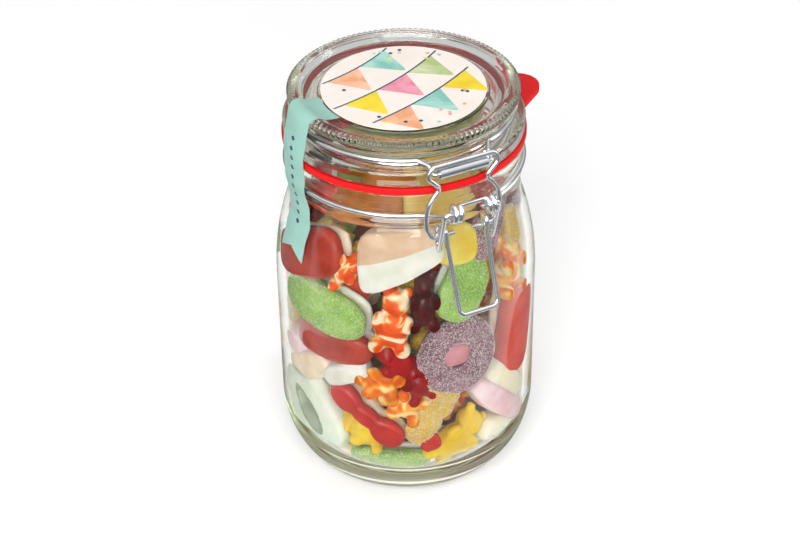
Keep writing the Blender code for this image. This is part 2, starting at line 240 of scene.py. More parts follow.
def corner_arc(before, corner, after, steps=None):
    """The arc that rounds a corner (..., radius) between its neighbours, in a given number
    of steps or else in steps of BEND_STEP degrees at most."""
    point, radius = Vector(corner[:-1]), corner[-1]
    back = (Vector(before[:len(point)]) - point).normalized()
    ahead = (Vector(after[:len(point)]) - point).normalized()
    half = back.angle(ahead) / 2
    middle = point + (back + ahead).normalized() * radius / math.sin(half)
    reach = radius / math.tan(half)
    first = (point + back * reach - middle).normalized()
    last = (point + ahead * reach - middle).normalized()
    steps = steps or max(2, math.ceil(math.degrees(math.pi - 2 * half) / BEND_STEP))
    return [middle + first.slerp(last, i / steps) * radius for i in range(steps + 1)]


def softened(corners):
    """A 2D outline whose corners (r, z, radius) become small arcs; (r, z) stay as they are."""
    outline = [corners[0][:2]]
    for before, corner, after in zip(corners, corners[1:], corners[2:]):
        rounded = corner_arc(before, corner, after, steps=4) if len(corner) == 3 else [corner]
        outline += [tuple(spot) for spot in rounded]
    return outline + [corners[-1][:2]]


def close_seams():
    """In edit mode, merge the points that meet and turn all faces outwards, then leave it."""
    bpy.ops.mesh.select_all(action="SELECT")
    bpy.ops.mesh.remove_doubles(threshold=MERGE)
    bpy.ops.mesh.normals_make_consistent(inside=False)
    bpy.ops.object.mode_set(mode="OBJECT")


def turn(name, outline, steps=144):
    """Draw an (r, z) outline in mm vertex by vertex and spin it round the jar's axis."""
    bpy.ops.object.select_all(action="DESELECT")
    bpy.ops.mesh.primitive_plane_add(size=MM)
    piece = bpy.context.object
    piece.name = name
    bpy.ops.object.mode_set(mode="EDIT")
    bpy.ops.mesh.select_mode(type="VERT")
    bpy.ops.mesh.merge(type="CENTER")
    corners = [Vector((r * MM, 0.0, z * MM)) for r, z in outline]
    bpy.ops.transform.translate(value=corners[0])
    at = corners[0].copy()
    for corner in corners[1:]:
        step = corner - at
        bpy.ops.mesh.extrude_vertices_move(TRANSFORM_OT_translate={"value": step})
        at += step
    bpy.ops.mesh.select_all(action="SELECT")
    bpy.ops.mesh.spin(steps=steps, angle=math.tau, center=(0, 0, 0), axis=(0, 0, 1))
    close_seams()
    piece.data.shade_smooth()
    return piece


def bumped(tree, shader, height, strength, distance):
    """Relief that follows a socket; distance is its depth in metres."""
    bump = add_node(tree, "Bump", {"Height": height, "Strength": strength, "Distance": distance})
    feed(tree, shader, {"Normal": bump.outputs["Normal"]})


def clear_glass(name, tint, depth_of_colour, ripple):
    """Glass with a faint tint and the long, shallow ripple that moulding leaves."""
    material, tree, shader = new_material(name)
    white = (1.0, 1.0, 1.0, 1.0)
    feed(tree, shader, {"Base Color": white, "Roughness": 0.0, "IOR": 1.5, "Transmission Weight": 1.0})
    depths = add_node(tree, "VolumeAbsorption", {"Color": tint, "Density": depth_of_colour})
    feed(tree, tree.nodes["Material Output"], {"Volume": depths.outputs["Volume"]})
    place = tree.nodes.new("ShaderNodeTexCoord").outputs["Object"]
    stretch = add_node(tree, "Mapping", {"Vector": place, "Scale": (1.0, 1.0, 0.35)}).outputs["Vector"]
    waves = add_node(tree, "TexNoise", {"Vector": stretch, "Scale": 55.0, "Detail": 1.0})
    bumped(tree, shader, waves.outputs["Fac"], ripple, 0.0006)
    return material


OUTER_HEEL = (20.0, 31.0)
inner_r = BODY_R - WALL
jar_outline = [(0.0, FLOOR_Z)]
jar_outline += sweep((inner_r - HEEL_R, FLOOR_Z + HEEL_RISE), (HEEL_R, HEEL_RISE), -90, 0, 16)
jar_outline += sweep((BODY_R - SHOULDER_R, SHOULDER_Z), (SHOULDER_R - WALL,) * 2, 0, 19.5, 12)
jar_outline += softened([
    (44.5, 132.0), (43.2, 137.0, 6.0), (41.6, 143.0, 6.0), (MOUTH_R, 148.0, 6.0),
    (MOUTH_R, RIM_Z, 0.9), (RIM_R, RIM_Z, 1.0), (RIM_R, RIM_Z - 3.8, 1.2),
    (NECK_R + 0.7, RIM_Z - 4.4, 0.6), (NECK_R + 0.6, RING_Z + 2.3, 0.8),
    (NECK_R - 0.1, RING_Z + 1.3, 0.8), (NECK_R - 0.1, RING_Z - 1.8, 0.6),
])[1:-1]
jar_outline += sweep((NECK_R - 0.4, RING_Z - 4.4), (1.5, 1.7), 62, -62, 8)
jar_outline += softened([
    (NECK_R + 0.3, RING_Z - 6.0), (NECK_R, RING_Z - 7.2, 0.8), (NECK_R, RING_Z - 12.2, 2.0),
    (BODY_R - SHOULDER_R + SHOULDER_R * math.cos(math.radians(18)), 126.4),
])[1:-1]
jar_outline += sweep((BODY_R - SHOULDER_R, SHOULDER_Z), (SHOULDER_R,) * 2, 19.6, 0, 14)
jar_outline += sweep((BODY_R - OUTER_HEEL[0], OUTER_HEEL[1]), OUTER_HEEL, 0, -80, 18)
jar_outline += [(38.0, 0.15), (36.5, 0.0), (33.5, 0.4), (30.0, 1.6), (0.0, 2.6)]
jar_glass = turn("jar_glass", jar_outline)
jar_glass.data.materials.append(clear_glass("jar_soda_glass", (0.80, 0.85, 0.62, 1.0), 17.0, 0.05))
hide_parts("glass_jar")
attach(jar_glass, "jar")


# Lid.  The same glass, pressed with a recess for the label, a raised land, a beaded
# edge, the groove that the wire sits in, a flange over the gasket and a locating lip.
LID_BASE_Z = 161.1
LID_TOP_Z = 179.7
HEAD_R = 47.1
LID_WIRE_Z = 170.7
LID_WIRE_R = 45.3
BEADS = 120
BEAD_DEPTH = 0.9
BEAD_MIDDLE_Z = 178.7
BEAD_REACH = 1.9
BEAD_LEVEL = 0.6
BEAD_LIFT = 0.7
lid_outline = softened([
    (0.0, 177.1), (34.4, 177.1, 0.4), (34.9, 176.8, 0.4), (40.2, 176.8, 0.9),
    (41.4, 177.9, 0.4), (42.3, 179.3, 0.5), (43.2, LID_TOP_Z, 0.4), (44.4, LID_TOP_Z),
])
lid_outline += [(45.2, 179.75), (46.0, 179.4), (46.6, 178.9), (47.0, 178.3), (HEAD_R, 177.5)]
lid_outline += softened([
    (HEAD_R, 176.8), (HEAD_R - 0.9, 176.3, 0.2), (HEAD_R - 0.9, 175.6, 0.2), (HEAD_R, 175.1, 0.2),
    (HEAD_R - 0.3, 174.3, 0.5), (45.9, 173.3, 0.4), (44.9, 172.3),
])
lid_outline += sweep((LID_WIRE_R, LID_WIRE_Z), (1.35, 1.5), 115, 240, 8)
lid_outline += softened([
    (45.0, 169.0), (48.4, 167.6, 1.2), (49.4, 166.4, 0.8), (49.4, LID_BASE_Z, 0.8),
    (40.5, LID_BASE_Z, 0.4), (40.2, 158.7, 0.5), (38.8, 158.6, 0.4), (38.6, 160.5, 1.0),
    (38.9, 170.4),
])[1:]
lid_outline += sweep((37.3, 170.4), (1.6, 1.6), 8, 90, 8) + [(0.0, 172.0)]
lid_glass = turn("lid_glass", lid_outline, steps=BEADS * 6)
for vertex in lid_glass.data.vertices:
    out = math.hypot(vertex.co.x, vertex.co.y)
    if out > 44.9 * MM and 177.0 * MM < vertex.co.z < 180.0 * MM:
        around = math.atan2(vertex.co.y, vertex.co.x)
        rise = abs(math.cos(around * BEADS / 2)) - BEAD_LEVEL
        middle = 1.0 - abs(vertex.co.z - BEAD_MIDDLE_Z * MM) / (BEAD_REACH * MM)
        push = BEAD_DEPTH * MM * rise * max(middle, 0.0)
        vertex.co.x *= 1.0 + push / out
        vertex.co.y *= 1.0 + push / out
        vertex.co.z += push * BEAD_LIFT
lid_glass.data.materials.append(clear_glass("lid_soda_glass", (0.72, 0.73, 0.62, 1.0), 32.0, 0.05))
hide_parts("glass_lid")
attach(lid_glass, "jar")


# Gasket.  A flat ring of red rubber, cut with a rounded pull tab and clamped between
# rim and lid, its edges a little rounded by the mould.
GASKET_R = 50.0
GASKET_HOLE_R = 41.6
GASKET_T = 3.0
TAB_TURN = math.radians(6.5)
TAB_HALF = 15.3
EDGE_ROUND = 0.45


def select(pieces):
    """Select these pieces alone, the first one active."""
    bpy.ops.object.select_all(action="DESELECT")
    for piece in pieces:
        piece.select_set(True)
    bpy.context.view_layer.objects.active = pieces[0]


def curve_mesh(curve, loops, closed, height=0.0):
    """Run a curve through the points of its loops, in mm, and make it a mesh at a height."""
    for loop in loops:
        spline = curve.splines.new("POLY")
        spline.points.add(len(loop) - 1)
        spline.use_cyclic_u = closed
        for spot, point in zip(spline.points, loop):
            x, y, z = (*point, 0.0)[:3]
            spot.co = (x * MM, y * MM, z * MM, 1.0)
    drawn = bpy.data.objects.new(curve.name, curve)
    bpy.context.scene.collection.objects.link(drawn)
    drawn.location.z = height * MM
    select([drawn])
    bpy.ops.object.convert(target="MESH")
    bpy.ops.object.transform_apply(location=True, rotation=True, scale=True)
    bpy.ops.object.mode_set(mode="EDIT")
    close_seams()
    return bpy.context.object


def outline_curve(name, loops, bottom, thickness, rounding):
    """A flat outline with its holes, given thickness and rounded edges, as a mesh."""
    curve = bpy.data.curves.new(name, "CURVE")
    curve.dimensions = "2D"
    curve.fill_mode = "BOTH"
    curve.extrude = (thickness / 2 - rounding) * MM
    curve.bevel_depth = rounding * MM
    curve.bevel_resolution = 3
    curve.offset = -rounding * MM
    return curve_mesh(curve, loops, True, bottom + thickness / 2)


def smooth_up_to(piece, degrees):
    """Smooth shading, with the edges that turn by more than this left sharp."""
    piece.data.shade_smooth()
    piece.data.set_sharp_from_angle(angle=math.radians(degrees))


def cloudy(tree, shader, tones, scale, detail=3.0, distortion=0.0):
    """Blend tones (place from 0 to 1, display colour) through a soft cloud."""
    place = tree.nodes.new("ShaderNodeTexCoord").outputs["Object"]
    waves = {"Scale": scale, "Detail": detail, "Distortion": distortion}
    cloud = add_node(tree, "TexNoise", {"Vector": place, **waves}).outputs["Fac"]
    colour = banded(tree, cloud, [(at, shade(*tone)) for at, tone in tones])
    feed(tree, shader, {"Base Color": colour})
    return place, cloud, colour


def roughened(tree, shader, place, scale, strength, distance, detail=3.0):
    """A fine uneven surface; distance is its depth in metres."""
    grain = add_node(tree, "TexNoise", {"Vector": place, "Scale": scale, "Detail": detail})
    bumped(tree, shader, grain.outputs["Fac"], strength, distance)


def skin(name, roughness, gloss, tones, cloud, grain):
    """A finish whose tones blend through a cloud, as in cloudy, over a grain, as in roughened."""
    material, tree, shader = new_material(name)
    feed(tree, shader, {"Roughness": roughness, "Specular IOR Level": gloss})
    place, _, colour = cloudy(tree, shader, tones, *cloud)
    roughened(tree, shader, place, *grain)
    return material, tree, shader, colour


tab = sweep((56.7, 0.0), (9.4, 9.4), -62, 62, 24)
tab = [(49.0, -TAB_HALF)] + tab + [(49.0, TAB_HALF)]
edge_turn = math.degrees(math.asin(TAB_HALF / GASKET_R)) + 2.0
turned_tab = Matrix.Rotation(TAB_TURN, 2)
gasket_outer = [tuple(turned_tab @ Vector(point)) for point in tab]
tab_degrees = math.degrees(TAB_TURN)
gasket_outer += sweep(
    (0.0, 0.0), (GASKET_R, GASKET_R), tab_degrees + edge_turn, tab_degrees + 360 - edge_turn, 130
)
gasket_inner = sweep((0.0, 0.0), (GASKET_HOLE_R, GASKET_HOLE_R), 0, 357.5, 143)
rubber_ring = outline_curve(
    "rubber_ring", [gasket_outer, gasket_inner], RIM_Z + 0.3, GASKET_T, EDGE_ROUND
)
smooth_up_to(rubber_ring, 40)
rubber_tones = [(0.0, (180, 9, 13)), (1.0, (200, 16, 19))]
rubber, _, rubber_shader, _ = skin(
    "red_rubber", 0.5, 0.15, rubber_tones, (90.0, 4.0), (2500.0, 0.15, 0.0002)
)
rubber_shader.inputs["Subsurface Weight"].default_value = 0.15
rubber_shader.inputs["Subsurface Radius"].default_value = (0.002, 0.0004, 0.0003)
rubber_ring.data.materials.append(rubber)
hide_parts("gasket")
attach(rubber_ring, "jar")


# Wires.  Round spring wire, zinc plated, bent cold: a ring in the neck's groove coiled
# into eyes at front and back, the lid's wire, the vase-shaped link and the lever.
WIRE_R = 1.0
RING_WIRE_R = 1.05
GAP = 0.3
RING_R = NECK_R - 0.1 + RING_WIRE_R + GAP
LATCH_OUT = 51.4
CROSSBAR_Z = 171.45
ROLLER_Z = 168.0
PIVOT_OUT = 59.2
PIVOT_Z = 153.5
LINK_PIN_Z = 139.2
HINGE_OUT = 57.0
EYE_R = 3.1
EYE_START = 5.8
EYE_PITCH = 2.35

# Bright zinc, with the fine lengthwise marks of drawing and a slight blue cast.
zinc, zinc_tree, zinc_shader = new_material("zinc_plated_wire")
zinc_tones = [(0.0, (214, 220, 226)), (1.0, (238, 241, 244))]
zinc_place, zinc_cloud, _ = cloudy(zinc_tree, zinc_shader, zinc_tones, 140.0, 5.0)
roughened(zinc_tree, zinc_shader, zinc_place, 1800.0, 0.12, 0.0001, 2.0)
zinc_rough = graded(zinc_tree, zinc_cloud, (0.0, 0.15), (1.0, 0.28))
feed(zinc_tree, zinc_shader, {"Metallic": 1.0, "Roughness": zinc_rough})


def bent_path(corners):
    """A wire's route in mm; a corner (x, y, z, radius) is bent to that radius."""
    path = [Vector(corners[0][:3])]
    for before, corner, after in zip(corners, corners[1:], corners[2:]):
        path += corner_arc(before, corner, after) if len(corner) == 4 else [Vector(corner)]
    path.append(Vector(corners[-1][:3]))
    return path


def bend_wire(name, path, radius, body, node, closed=False):
    """A round wire along a path in mm, made a mesh, in place of its CAD node."""
    curve = bpy.data.curves.new(name, "CURVE")
    curve.dimensions = "3D"
    curve.bevel_depth = radius * MM
    curve.bevel_resolution = 5
    curve.use_fill_caps = not closed
    piece = curve_mesh(curve, [path], closed)
    smooth_up_to(piece, 60)
    piece.data.materials.append(zinc)
    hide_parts(node)
    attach(piece, body)
    return piece


def latch_side(points):
    """Turn (across, outward, up, ...) at the latch into (x, y, z, ...)."""
    return [(p[0], -p[1], *p[2:]) for p in points]


def other_half(points):
    """The left half of a symmetric wire, from its far end to the middle."""
    return [(-p[0], *p[1:]) for p in reversed(points)]


def round_the_jar(radius, height, start, end, steps):
    return [(*p, height) for p in sweep((0.0, 0.0), (radius, radius), start, end, steps)]


def eye_coil(pivot_out):
    """One and a half turns round a pivot pin, from the bar out towards the neck."""
    coil = []
    steps = 42
    for i in range(steps + 1):
        turns = 1.5 * i / steps
        angle = math.pi / 2 - turns * math.tau
        out = pivot_out + EYE_R * math.cos(angle)
        coil.append((EYE_START + EYE_PITCH * turns, out, PIVOT_Z + EYE_R * math.sin(angle)))
    return coil


ring_leave = math.degrees(math.asin(17.0 / RING_R))
front_eye = eye_coil(PIVOT_OUT) + [(9.9, 54.5, 149.9), (11.4, 51.0, 148.6)]
back_eye = eye_coil(HINGE_OUT) + [(11.4, 51.0, 148.6)]
ring_right = latch_side(front_eye)
ring_right += round_the_jar(RING_R, RING_Z, -90 + ring_leave, 90 - ring_leave, 60)
ring_right += back_eye[::-1]
ring_path = ring_right + other_half(ring_right)
bend_wire("neck_wire", ring_path, RING_WIRE_R, "jar", "neck_ring", closed=True)

lid_leave = math.degrees(math.asin(15.4 / LID_WIRE_R))
lid_half = latch_side([
    (0.0, LATCH_OUT, ROLLER_Z), (12.9, LATCH_OUT, ROLLER_Z, 1.6), (13.0, 47.2, 169.9, 2.0),
])
lid_half += round_the_jar(LID_WIRE_R, LID_WIRE_Z, -90 + lid_leave, 90 - lid_leave, 56)
lid_half += [(13.2, 48.8, LID_WIRE_Z, 2.2), (12.6, 53.2, 167.0, 3.0)]
lid_half += [(11.9, HINGE_OUT, PIVOT_Z, 1.8), (4.4, HINGE_OUT, PIVOT_Z)]
lid_path = bent_path(other_half(lid_half)[:-1] + lid_half[1:])
bend_wire("lid_bail", lid_path, WIRE_R, "jar", "lid_wire")

link_half = [
    (0.0, CROSSBAR_Z), (13.6, CROSSBAR_Z, 2.2), (15.9, 167.8, 2.2), (13.0, 164.6),
    (9.9, 161.4, 1.9), (13.0, 158.2), (15.4, 154.4, 6.0), (16.3, 149.6),
    (16.2, 144.0, 4.0), (14.0, LINK_PIN_Z, 2.4), (4.0, LINK_PIN_Z - 0.2),
]
link_half = latch_side([(p[0], LATCH_OUT, *p[1:]) for p in link_half])
link_path = bent_path(other_half(link_half)[:-1] + link_half[1:])
bend_wire("vase_link", link_path, WIRE_R, "link_body", "link")

lever_half = latch_side([
    (4.0, PIVOT_OUT, PIVOT_Z), (11.9, PIVOT_OUT, PIVOT_Z, 1.5), (12.0, 55.2, 138.6),
    (11.8, 53.9, 134.0, 1.7), (10.6, 50.0, 134.4, 1.7), (10.2, LATCH_OUT - 2.8, 141.2),
    (9.6, LATCH_OUT - 2.4, 143.0, 1.3), (9.1, LATCH_OUT + 2.4, 143.0, 1.6),
    (8.9, 55.0, 136.4), (8.5, 65.7, 108.8, 2.8), (0.0, 65.8, 108.7),
])
lever_path = bent_path(lever_half[:-1] + other_half(lever_half)[1:])
bend_wire("lever_handle", lever_path, WIRE_R, "lever_body", "lever")


# Roller.  A short steel tube, free to turn on the lid's wire, that the link's crossbar
# pulls over; its ends are cut square and broken with a small bevel.
ROLLER_R = 2.1
ROLLER_HALF = 10.6
ROLLER_BORE = WIRE_R + 0.35
ROLLER_BREAK = 0.2
bpy.ops.object.select_all(action="DESELECT")
bpy.ops.mesh.primitive_cylinder_add(
    vertices=48, radius=ROLLER_R * MM, depth=2 * ROLLER_HALF * MM,
    location=(0.0, -LATCH_OUT * MM, ROLLER_Z * MM), rotation=(0.0, math.pi / 2, 0.0),
)
roller = bpy.context.object
roller.name = "steel_roller"
bpy.ops.object.transform_apply(location=True, rotation=True, scale=True)
bpy.ops.object.mode_set(mode="EDIT")
bpy.ops.mesh.select_mode(type="FACE")
bpy.ops.mesh.select_all(action="DESELECT")
bpy.ops.object.mode_set(mode="OBJECT")
for face in roller.data.polygons:
    face.select = abs(face.normal.x) > 0.9
bpy.ops.object.mode_set(mode="EDIT")
bpy.ops.mesh.inset(thickness=ROLLER_BREAK * MM)
bpy.ops.mesh.inset(thickness=(ROLLER_R - ROLLER_BORE - ROLLER_BREAK) * MM)
bpy.ops.mesh.bridge_edge_loops()
bpy.ops.object.mode_set(mode="OBJECT")
for vertex in roller.data.vertices:
    out = math.hypot(vertex.co.y + LATCH_OUT * MM, vertex.co.z - ROLLER_Z * MM)
    if out > (ROLLER_R - 0.05) * MM:
        vertex.co.x -= math.copysign(ROLLER_BREAK * MM, vertex.co.x)
smooth_up_to(roller, 35)
roller.data.materials.append(zinc)
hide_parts("roller")
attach(roller, "jar")


# Round label.  Smooth off-white paper glued in the lid's recess, printed with garlands of
# pennants in soft washed colours, each row hung from a thin dark cord, and with confetti.
LABEL_R = 33.6
LABEL_LOW_Z = 177.5
LABEL_T = 0.3
PRINT_T = 0.06
PRINT_STEP = 0.0015
PENNANT = (16.6, 16.5)
PENNANT_GAP = 1.4
CORD_HALF = 0.4


def join(pieces, name):
    """Join pieces into the first of them."""
    select(pieces)
    bpy.ops.object.join()
    pieces[0].name = name
    return pieces[0]


def paper(name, dark, light, wash):
    """Printed paper: its colour laid on unevenly like a wash, over a fine matt tooth."""
    tones = [(0.36, dark), (0.62, light)]
    return skin(name, 0.55, 0.5, tones, (wash, 5.0, 0.6), (2600.0, 0.2, 0.00008))[0]


def paper_shape(name, outline, bottom, thickness, paint):
    shape = outline_curve(name, [outline], bottom, thickness, 0.02)
    shape.data.materials.append(paint)
    return shape


def garland(middle_y, half, sag, count, first):
    """A cord that sags between two ends, with pennants hung along it in turning colours."""
    def cord(x):
        return middle_y - sag * (1.0 - (x / half) ** 2)
    cord_points = [(x, cord(x)) for x in np.linspace(-half, half, 25)]
    loop = [(x, y + CORD_HALF) for x, y in cord_points]
    loop += [(x, y - CORD_HALF) for x, y in cord_points[::-1]]
    shapes = []
    width, drop = PENNANT
    for number in range(count):
        middle = (number - (count - 1) / 2) * (width + PENNANT_GAP)
        lean = math.atan(2.0 * sag * middle / half ** 2)
        flag = [(-width / 2, 0.0), (width / 2, 0.0)]
        flag += [(0.9, 0.8 - drop), (0.0, -drop), (-0.9, 0.8 - drop)]
        turned_flag = [tuple(Matrix.Rotation(lean, 2) @ Vector(point)) for point in flag]
        outline = [(x + middle, y + cord(middle) - 0.2) for x, y in turned_flag]
        shapes.append(("pennant", outline, inks[(first + number) % len(inks)]))
    shapes.append(("cord", loop, navy_ink))
    return shapes


label_paper = paper_shape(
    "label_paper", sweep((0.0, 0.0), (LABEL_R, LABEL_R), 0, 357.5, 143), LABEL_LOW_Z, LABEL_T,
    paper("off_white_paper", (212, 202, 193), (218, 210, 203), 60.0),
)
inks = [
    paper("peach_ink", (206, 140, 100), (220, 172, 140), 110.0),
    paper("teal_ink", (112, 168, 157), (150, 192, 181), 110.0),
    paper("yellow_ink", (206, 176, 6), (216, 194, 36), 110.0),
    paper("pink_ink", (198, 112, 134), (214, 148, 162), 110.0),
    paper("green_ink", (150, 168, 108), (184, 192, 150), 110.0),
]
navy_ink = paper("navy_ink", (24, 46, 72), (34, 60, 88), 110.0)
printed = garland(26.5, 19.5, 2.0, 2, 0)
printed += garland(9.5, 31.0, 3.5, 3, 2)
printed += garland(-9.5, 29.0, 2.5, 3, 0)
confetti_draw = random.Random(41)
for number in range(22):
    turn_by, out = confetti_draw.uniform(0, math.tau), confetti_draw.uniform(22, 31)
    middle = (out * math.cos(turn_by), out * math.sin(turn_by))
    dot = sweep(middle, (0.85, 0.85), 0, 324, 9)
    printed.append(("confetti", dot, navy_ink if number % 3 == 0 else inks[number % 5]))
print_turn = Matrix.Rotation(math.radians(22.0), 2)
prints = []
for number, (name, outline, ink) in enumerate(printed):
    turned_outline = [tuple(print_turn @ Vector(point)) for point in outline]
    bottom = LABEL_LOW_Z + LABEL_T - 0.02 + number * PRINT_STEP
    prints.append(paper_shape(name, turned_outline, bottom, PRINT_T, ink))
label_print = join(prints, "label_print")
for piece in (label_paper, label_print):
    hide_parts("round_label")
    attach(piece, "jar")


# Paper strip.  A seal of mint paper from the label over the beaded edge and down the
# neck, cut in a swallow tail and printed with one row of small dark diamonds.
STRIP_WIDTH = 17.8
STRIP_T = 0.25
TAIL_DEPTH = 4.0
STRIP_ROWS = 110
STRIP_COLUMNS = 14
STRIP_ASIDE = -1.2
TAIL_FROM = 0.85
CURL = 0.12
CURL_FROM_ROW = 25
DIAMONDS = 18.0
DIAMOND_HALF_UP = 0.26
DIAMOND_HALF_ACROSS = 0.085
PRINT_FROM = 0.16
PRINT_TO = 0.74
strip_route = [(34.6, 177.75), (38.0, 177.9), (41.0, 178.8), (43.2, 180.1), (44.8, 180.1)]
strip_route += [(46.9, 179.2), (47.75, 177.2), (48.4, 173.8), (49.9, 166.6), (50.5, 163.0)]
strip_route += [(50.6, 157.2), (50.3, 152.4), (50.6, 148.6), (50.5, 146.0), (49.5, 142.0)]
strip_route += [(48.7, 138.2)]
strip_route += sweep((BODY_R - SHOULDER_R, SHOULDER_Z), (SHOULDER_R + 0.45,) * 2, 20.0, 11.2, 8)
along = np.concatenate([[0.0], np.cumsum(np.hypot(*np.diff(np.array(strip_route), axis=0).T))])
stations = np.linspace(0.0, along[-1], STRIP_ROWS + 1)
strip_r, strip_z = (np.interp(stations, along, side) for side in np.array(strip_route).T)
for _ in range(3):
    strip_r[1:-1] = (strip_r[:-2] + 2 * strip_r[1:-1] + strip_r[2:]) / 4
    strip_z[1:-1] = (strip_z[:-2] + 2 * strip_z[1:-1] + strip_z[2:]) / 4
bpy.ops.object.select_all(action="DESELECT")
bpy.ops.mesh.primitive_grid_add(x_subdivisions=STRIP_COLUMNS, y_subdivisions=STRIP_ROWS, size=2.0)
strip = bpy.context.object
strip.name = "mint_strip"
for vertex in strip.data.vertices:
    row = round((1.0 - vertex.co.y) / 2 * STRIP_ROWS)
    side = vertex.co.x
    across = STRIP_ASIDE + side * STRIP_WIDTH / 2
    into_tail = max(0.0, (row / STRIP_ROWS - TAIL_FROM) / (1.0 - TAIL_FROM))
    tail = into_tail * TAIL_DEPTH * (1.0 - abs(side))
    z = strip_z[row] + tail
    r = strip_r[row] + CURL * math.sin(row * 0.35 + side) * (row > CURL_FROM_ROW)
    r -= tail * 0.2
    vertex.co = (-math.sqrt(r * r - across * across) * MM, across * MM, z * MM)
bpy.ops.object.mode_set(mode="EDIT")
bpy.ops.mesh.select_all(action="SELECT")
bpy.ops.mesh.flip_normals()
bpy.ops.object.mode_set(mode="OBJECT")
leaf = strip.modifiers.new("leaf", "SOLIDIFY")
leaf.thickness = STRIP_T * MM
leaf.offset = 1.0
bpy.ops.object.modifier_apply(modifier="leaf")
smooth_up_to(strip, 40)
mint_tones = [(0.3, (124, 164, 154)), (0.7, (133, 173, 162))]
mint, mint_tree, mint_shader, mint_colour = skin(
    "mint_paper", 0.5, 0.5, mint_tones, (60.0,), (2600.0, 0.2, 0.00008)
)
strip_uv = mint_tree.nodes.new("ShaderNodeUVMap")
strip_uv.uv_map = "UVMap"
strip_place = add_node(mint_tree, "SeparateXYZ", {"Vector": strip_uv.outputs["UV"]}).outputs


def mint_math(operation, first, second=0.0):
    """One step of arithmetic on the printed row's pattern."""
    return add_node(mint_tree, "Math", {0: first, 1: second}, operation).outputs[0]


def mint_product(first, second):
    return mint_math("MULTIPLY", first, second)


in_row = mint_math("FRACT", mint_product(strip_place["Y"], DIAMONDS))
row_off = mint_math("ABSOLUTE", mint_math("SUBTRACT", in_row, 0.5))
side_off = mint_math("ABSOLUTE", mint_math("SUBTRACT", strip_place["X"], 0.5))
row_share = mint_math("DIVIDE", row_off, DIAMOND_HALF_UP)
side_share = mint_math("DIVIDE", side_off, DIAMOND_HALF_ACROSS)
in_diamond = mint_math("LESS_THAN", mint_math("ADD", row_share, side_share), 1.0)
in_print = mint_product(
    mint_math("LESS_THAN", strip_place["Y"], PRINT_TO),
    mint_math("GREATER_THAN", strip_place["Y"], PRINT_FROM),
)
diamond = mint_product(in_diamond, in_print)
feed(mint_tree, mint_shader, {
    "Base Color": mixed(mint_tree, diamond, mint_colour, shade(32, 58, 84), "RGBA"),
})
strip.data.materials.append(mint)
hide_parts("paper_strip")
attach(strip, "jar")


# How the sweets lie.  Soft sweets press themselves flat against the inside of the glass,
# so each is a copy of its mould, stretched to its own size, tilted and bent to the wall.
# In the rounded heel they bridge the curve and leave a little air.
SWEETS_TOP_Z = 169.6
PRESSED = 1.7
INTO_WALL = 0.35
HEEL_AIR = 0.9
HEEL_ZONE = (23.0, 29.0)
FLOOR_AIR = 0.8
FLOOR_SPREAD = 0.12
LEAST_R = 12.0
EDGE_SOFTNESS = 0.25
UNEVEN_BY = 0.55
UNEVEN_GRAIN = 17.0
KINDS = 6


def wall_radius(z):
    """Inside radius of jar and lid at heights z in mm."""
    heel = np.clip((FLOOR_Z + HEEL_RISE - z) / HEEL_RISE, 0.0, 1.0)
    low = inner_r - HEEL_R + HEEL_R * np.sqrt(1.0 - heel ** 2)
    edge = SHOULDER_R - WALL
    shoulder = BODY_R - SHOULDER_R + np.sqrt(edge ** 2 - np.clip(z - SHOULDER_Z, 0.0, 60.0) ** 2)
    neck = np.interp(z, [126.0, 132.0, 137.0, 143.0, 148.0, 157.5, 158.6, 170.4],
                     [48.0, 44.5, 43.2, 41.6, MOUTH_R, MOUTH_R, 38.4, 38.8])
    body = np.where(z < FLOOR_Z + HEEL_RISE, low, shoulder)
    return np.where(z < 126.0, body, np.minimum(shoulder, neck))


def read_points(mesh):
    points = np.empty(len(mesh.vertices) * 3)
    mesh.vertices.foreach_get("co", points)
    return points.reshape(-1, 3)


def write_points(mesh, points):
    mesh.vertices.foreach_set("co", points.ravel())
    mesh.update()


def uneven(points, depth, grain, draw):
    """Push points in and out by slow waves, as no two moulded sweets are alike."""
    push = np.zeros(len(points))
    for _ in range(4):
        way = np.array([draw.uniform(-1, 1) for _ in range(3)])
        push += np.sin(points @ way * (math.tau / grain) + draw.uniform(0, math.tau))
    length = np.linalg.norm(points, axis=1, keepdims=True) + 1e-9
    return points + points / length * (push * depth / 4)[:, None]


def copy_of(mould, size, draw, paints):
    """A copy of a mould of unit size, stretched to (width, thickness, height) in mm."""
    mesh = mould.data.copy()
    points = uneven(read_points(mesh) * np.array(size), UNEVEN_BY, UNEVEN_GRAIN, draw)
    write_points(mesh, points)
    for number, paint in enumerate(paints):
        if number < len(mesh.materials):
            mesh.materials[number] = paint
        else:
            mesh.materials.append(paint)
    sweet = bpy.data.objects.new(mould.name, mesh)
    bpy.context.scene.collection.objects.link(sweet)
    return sweet


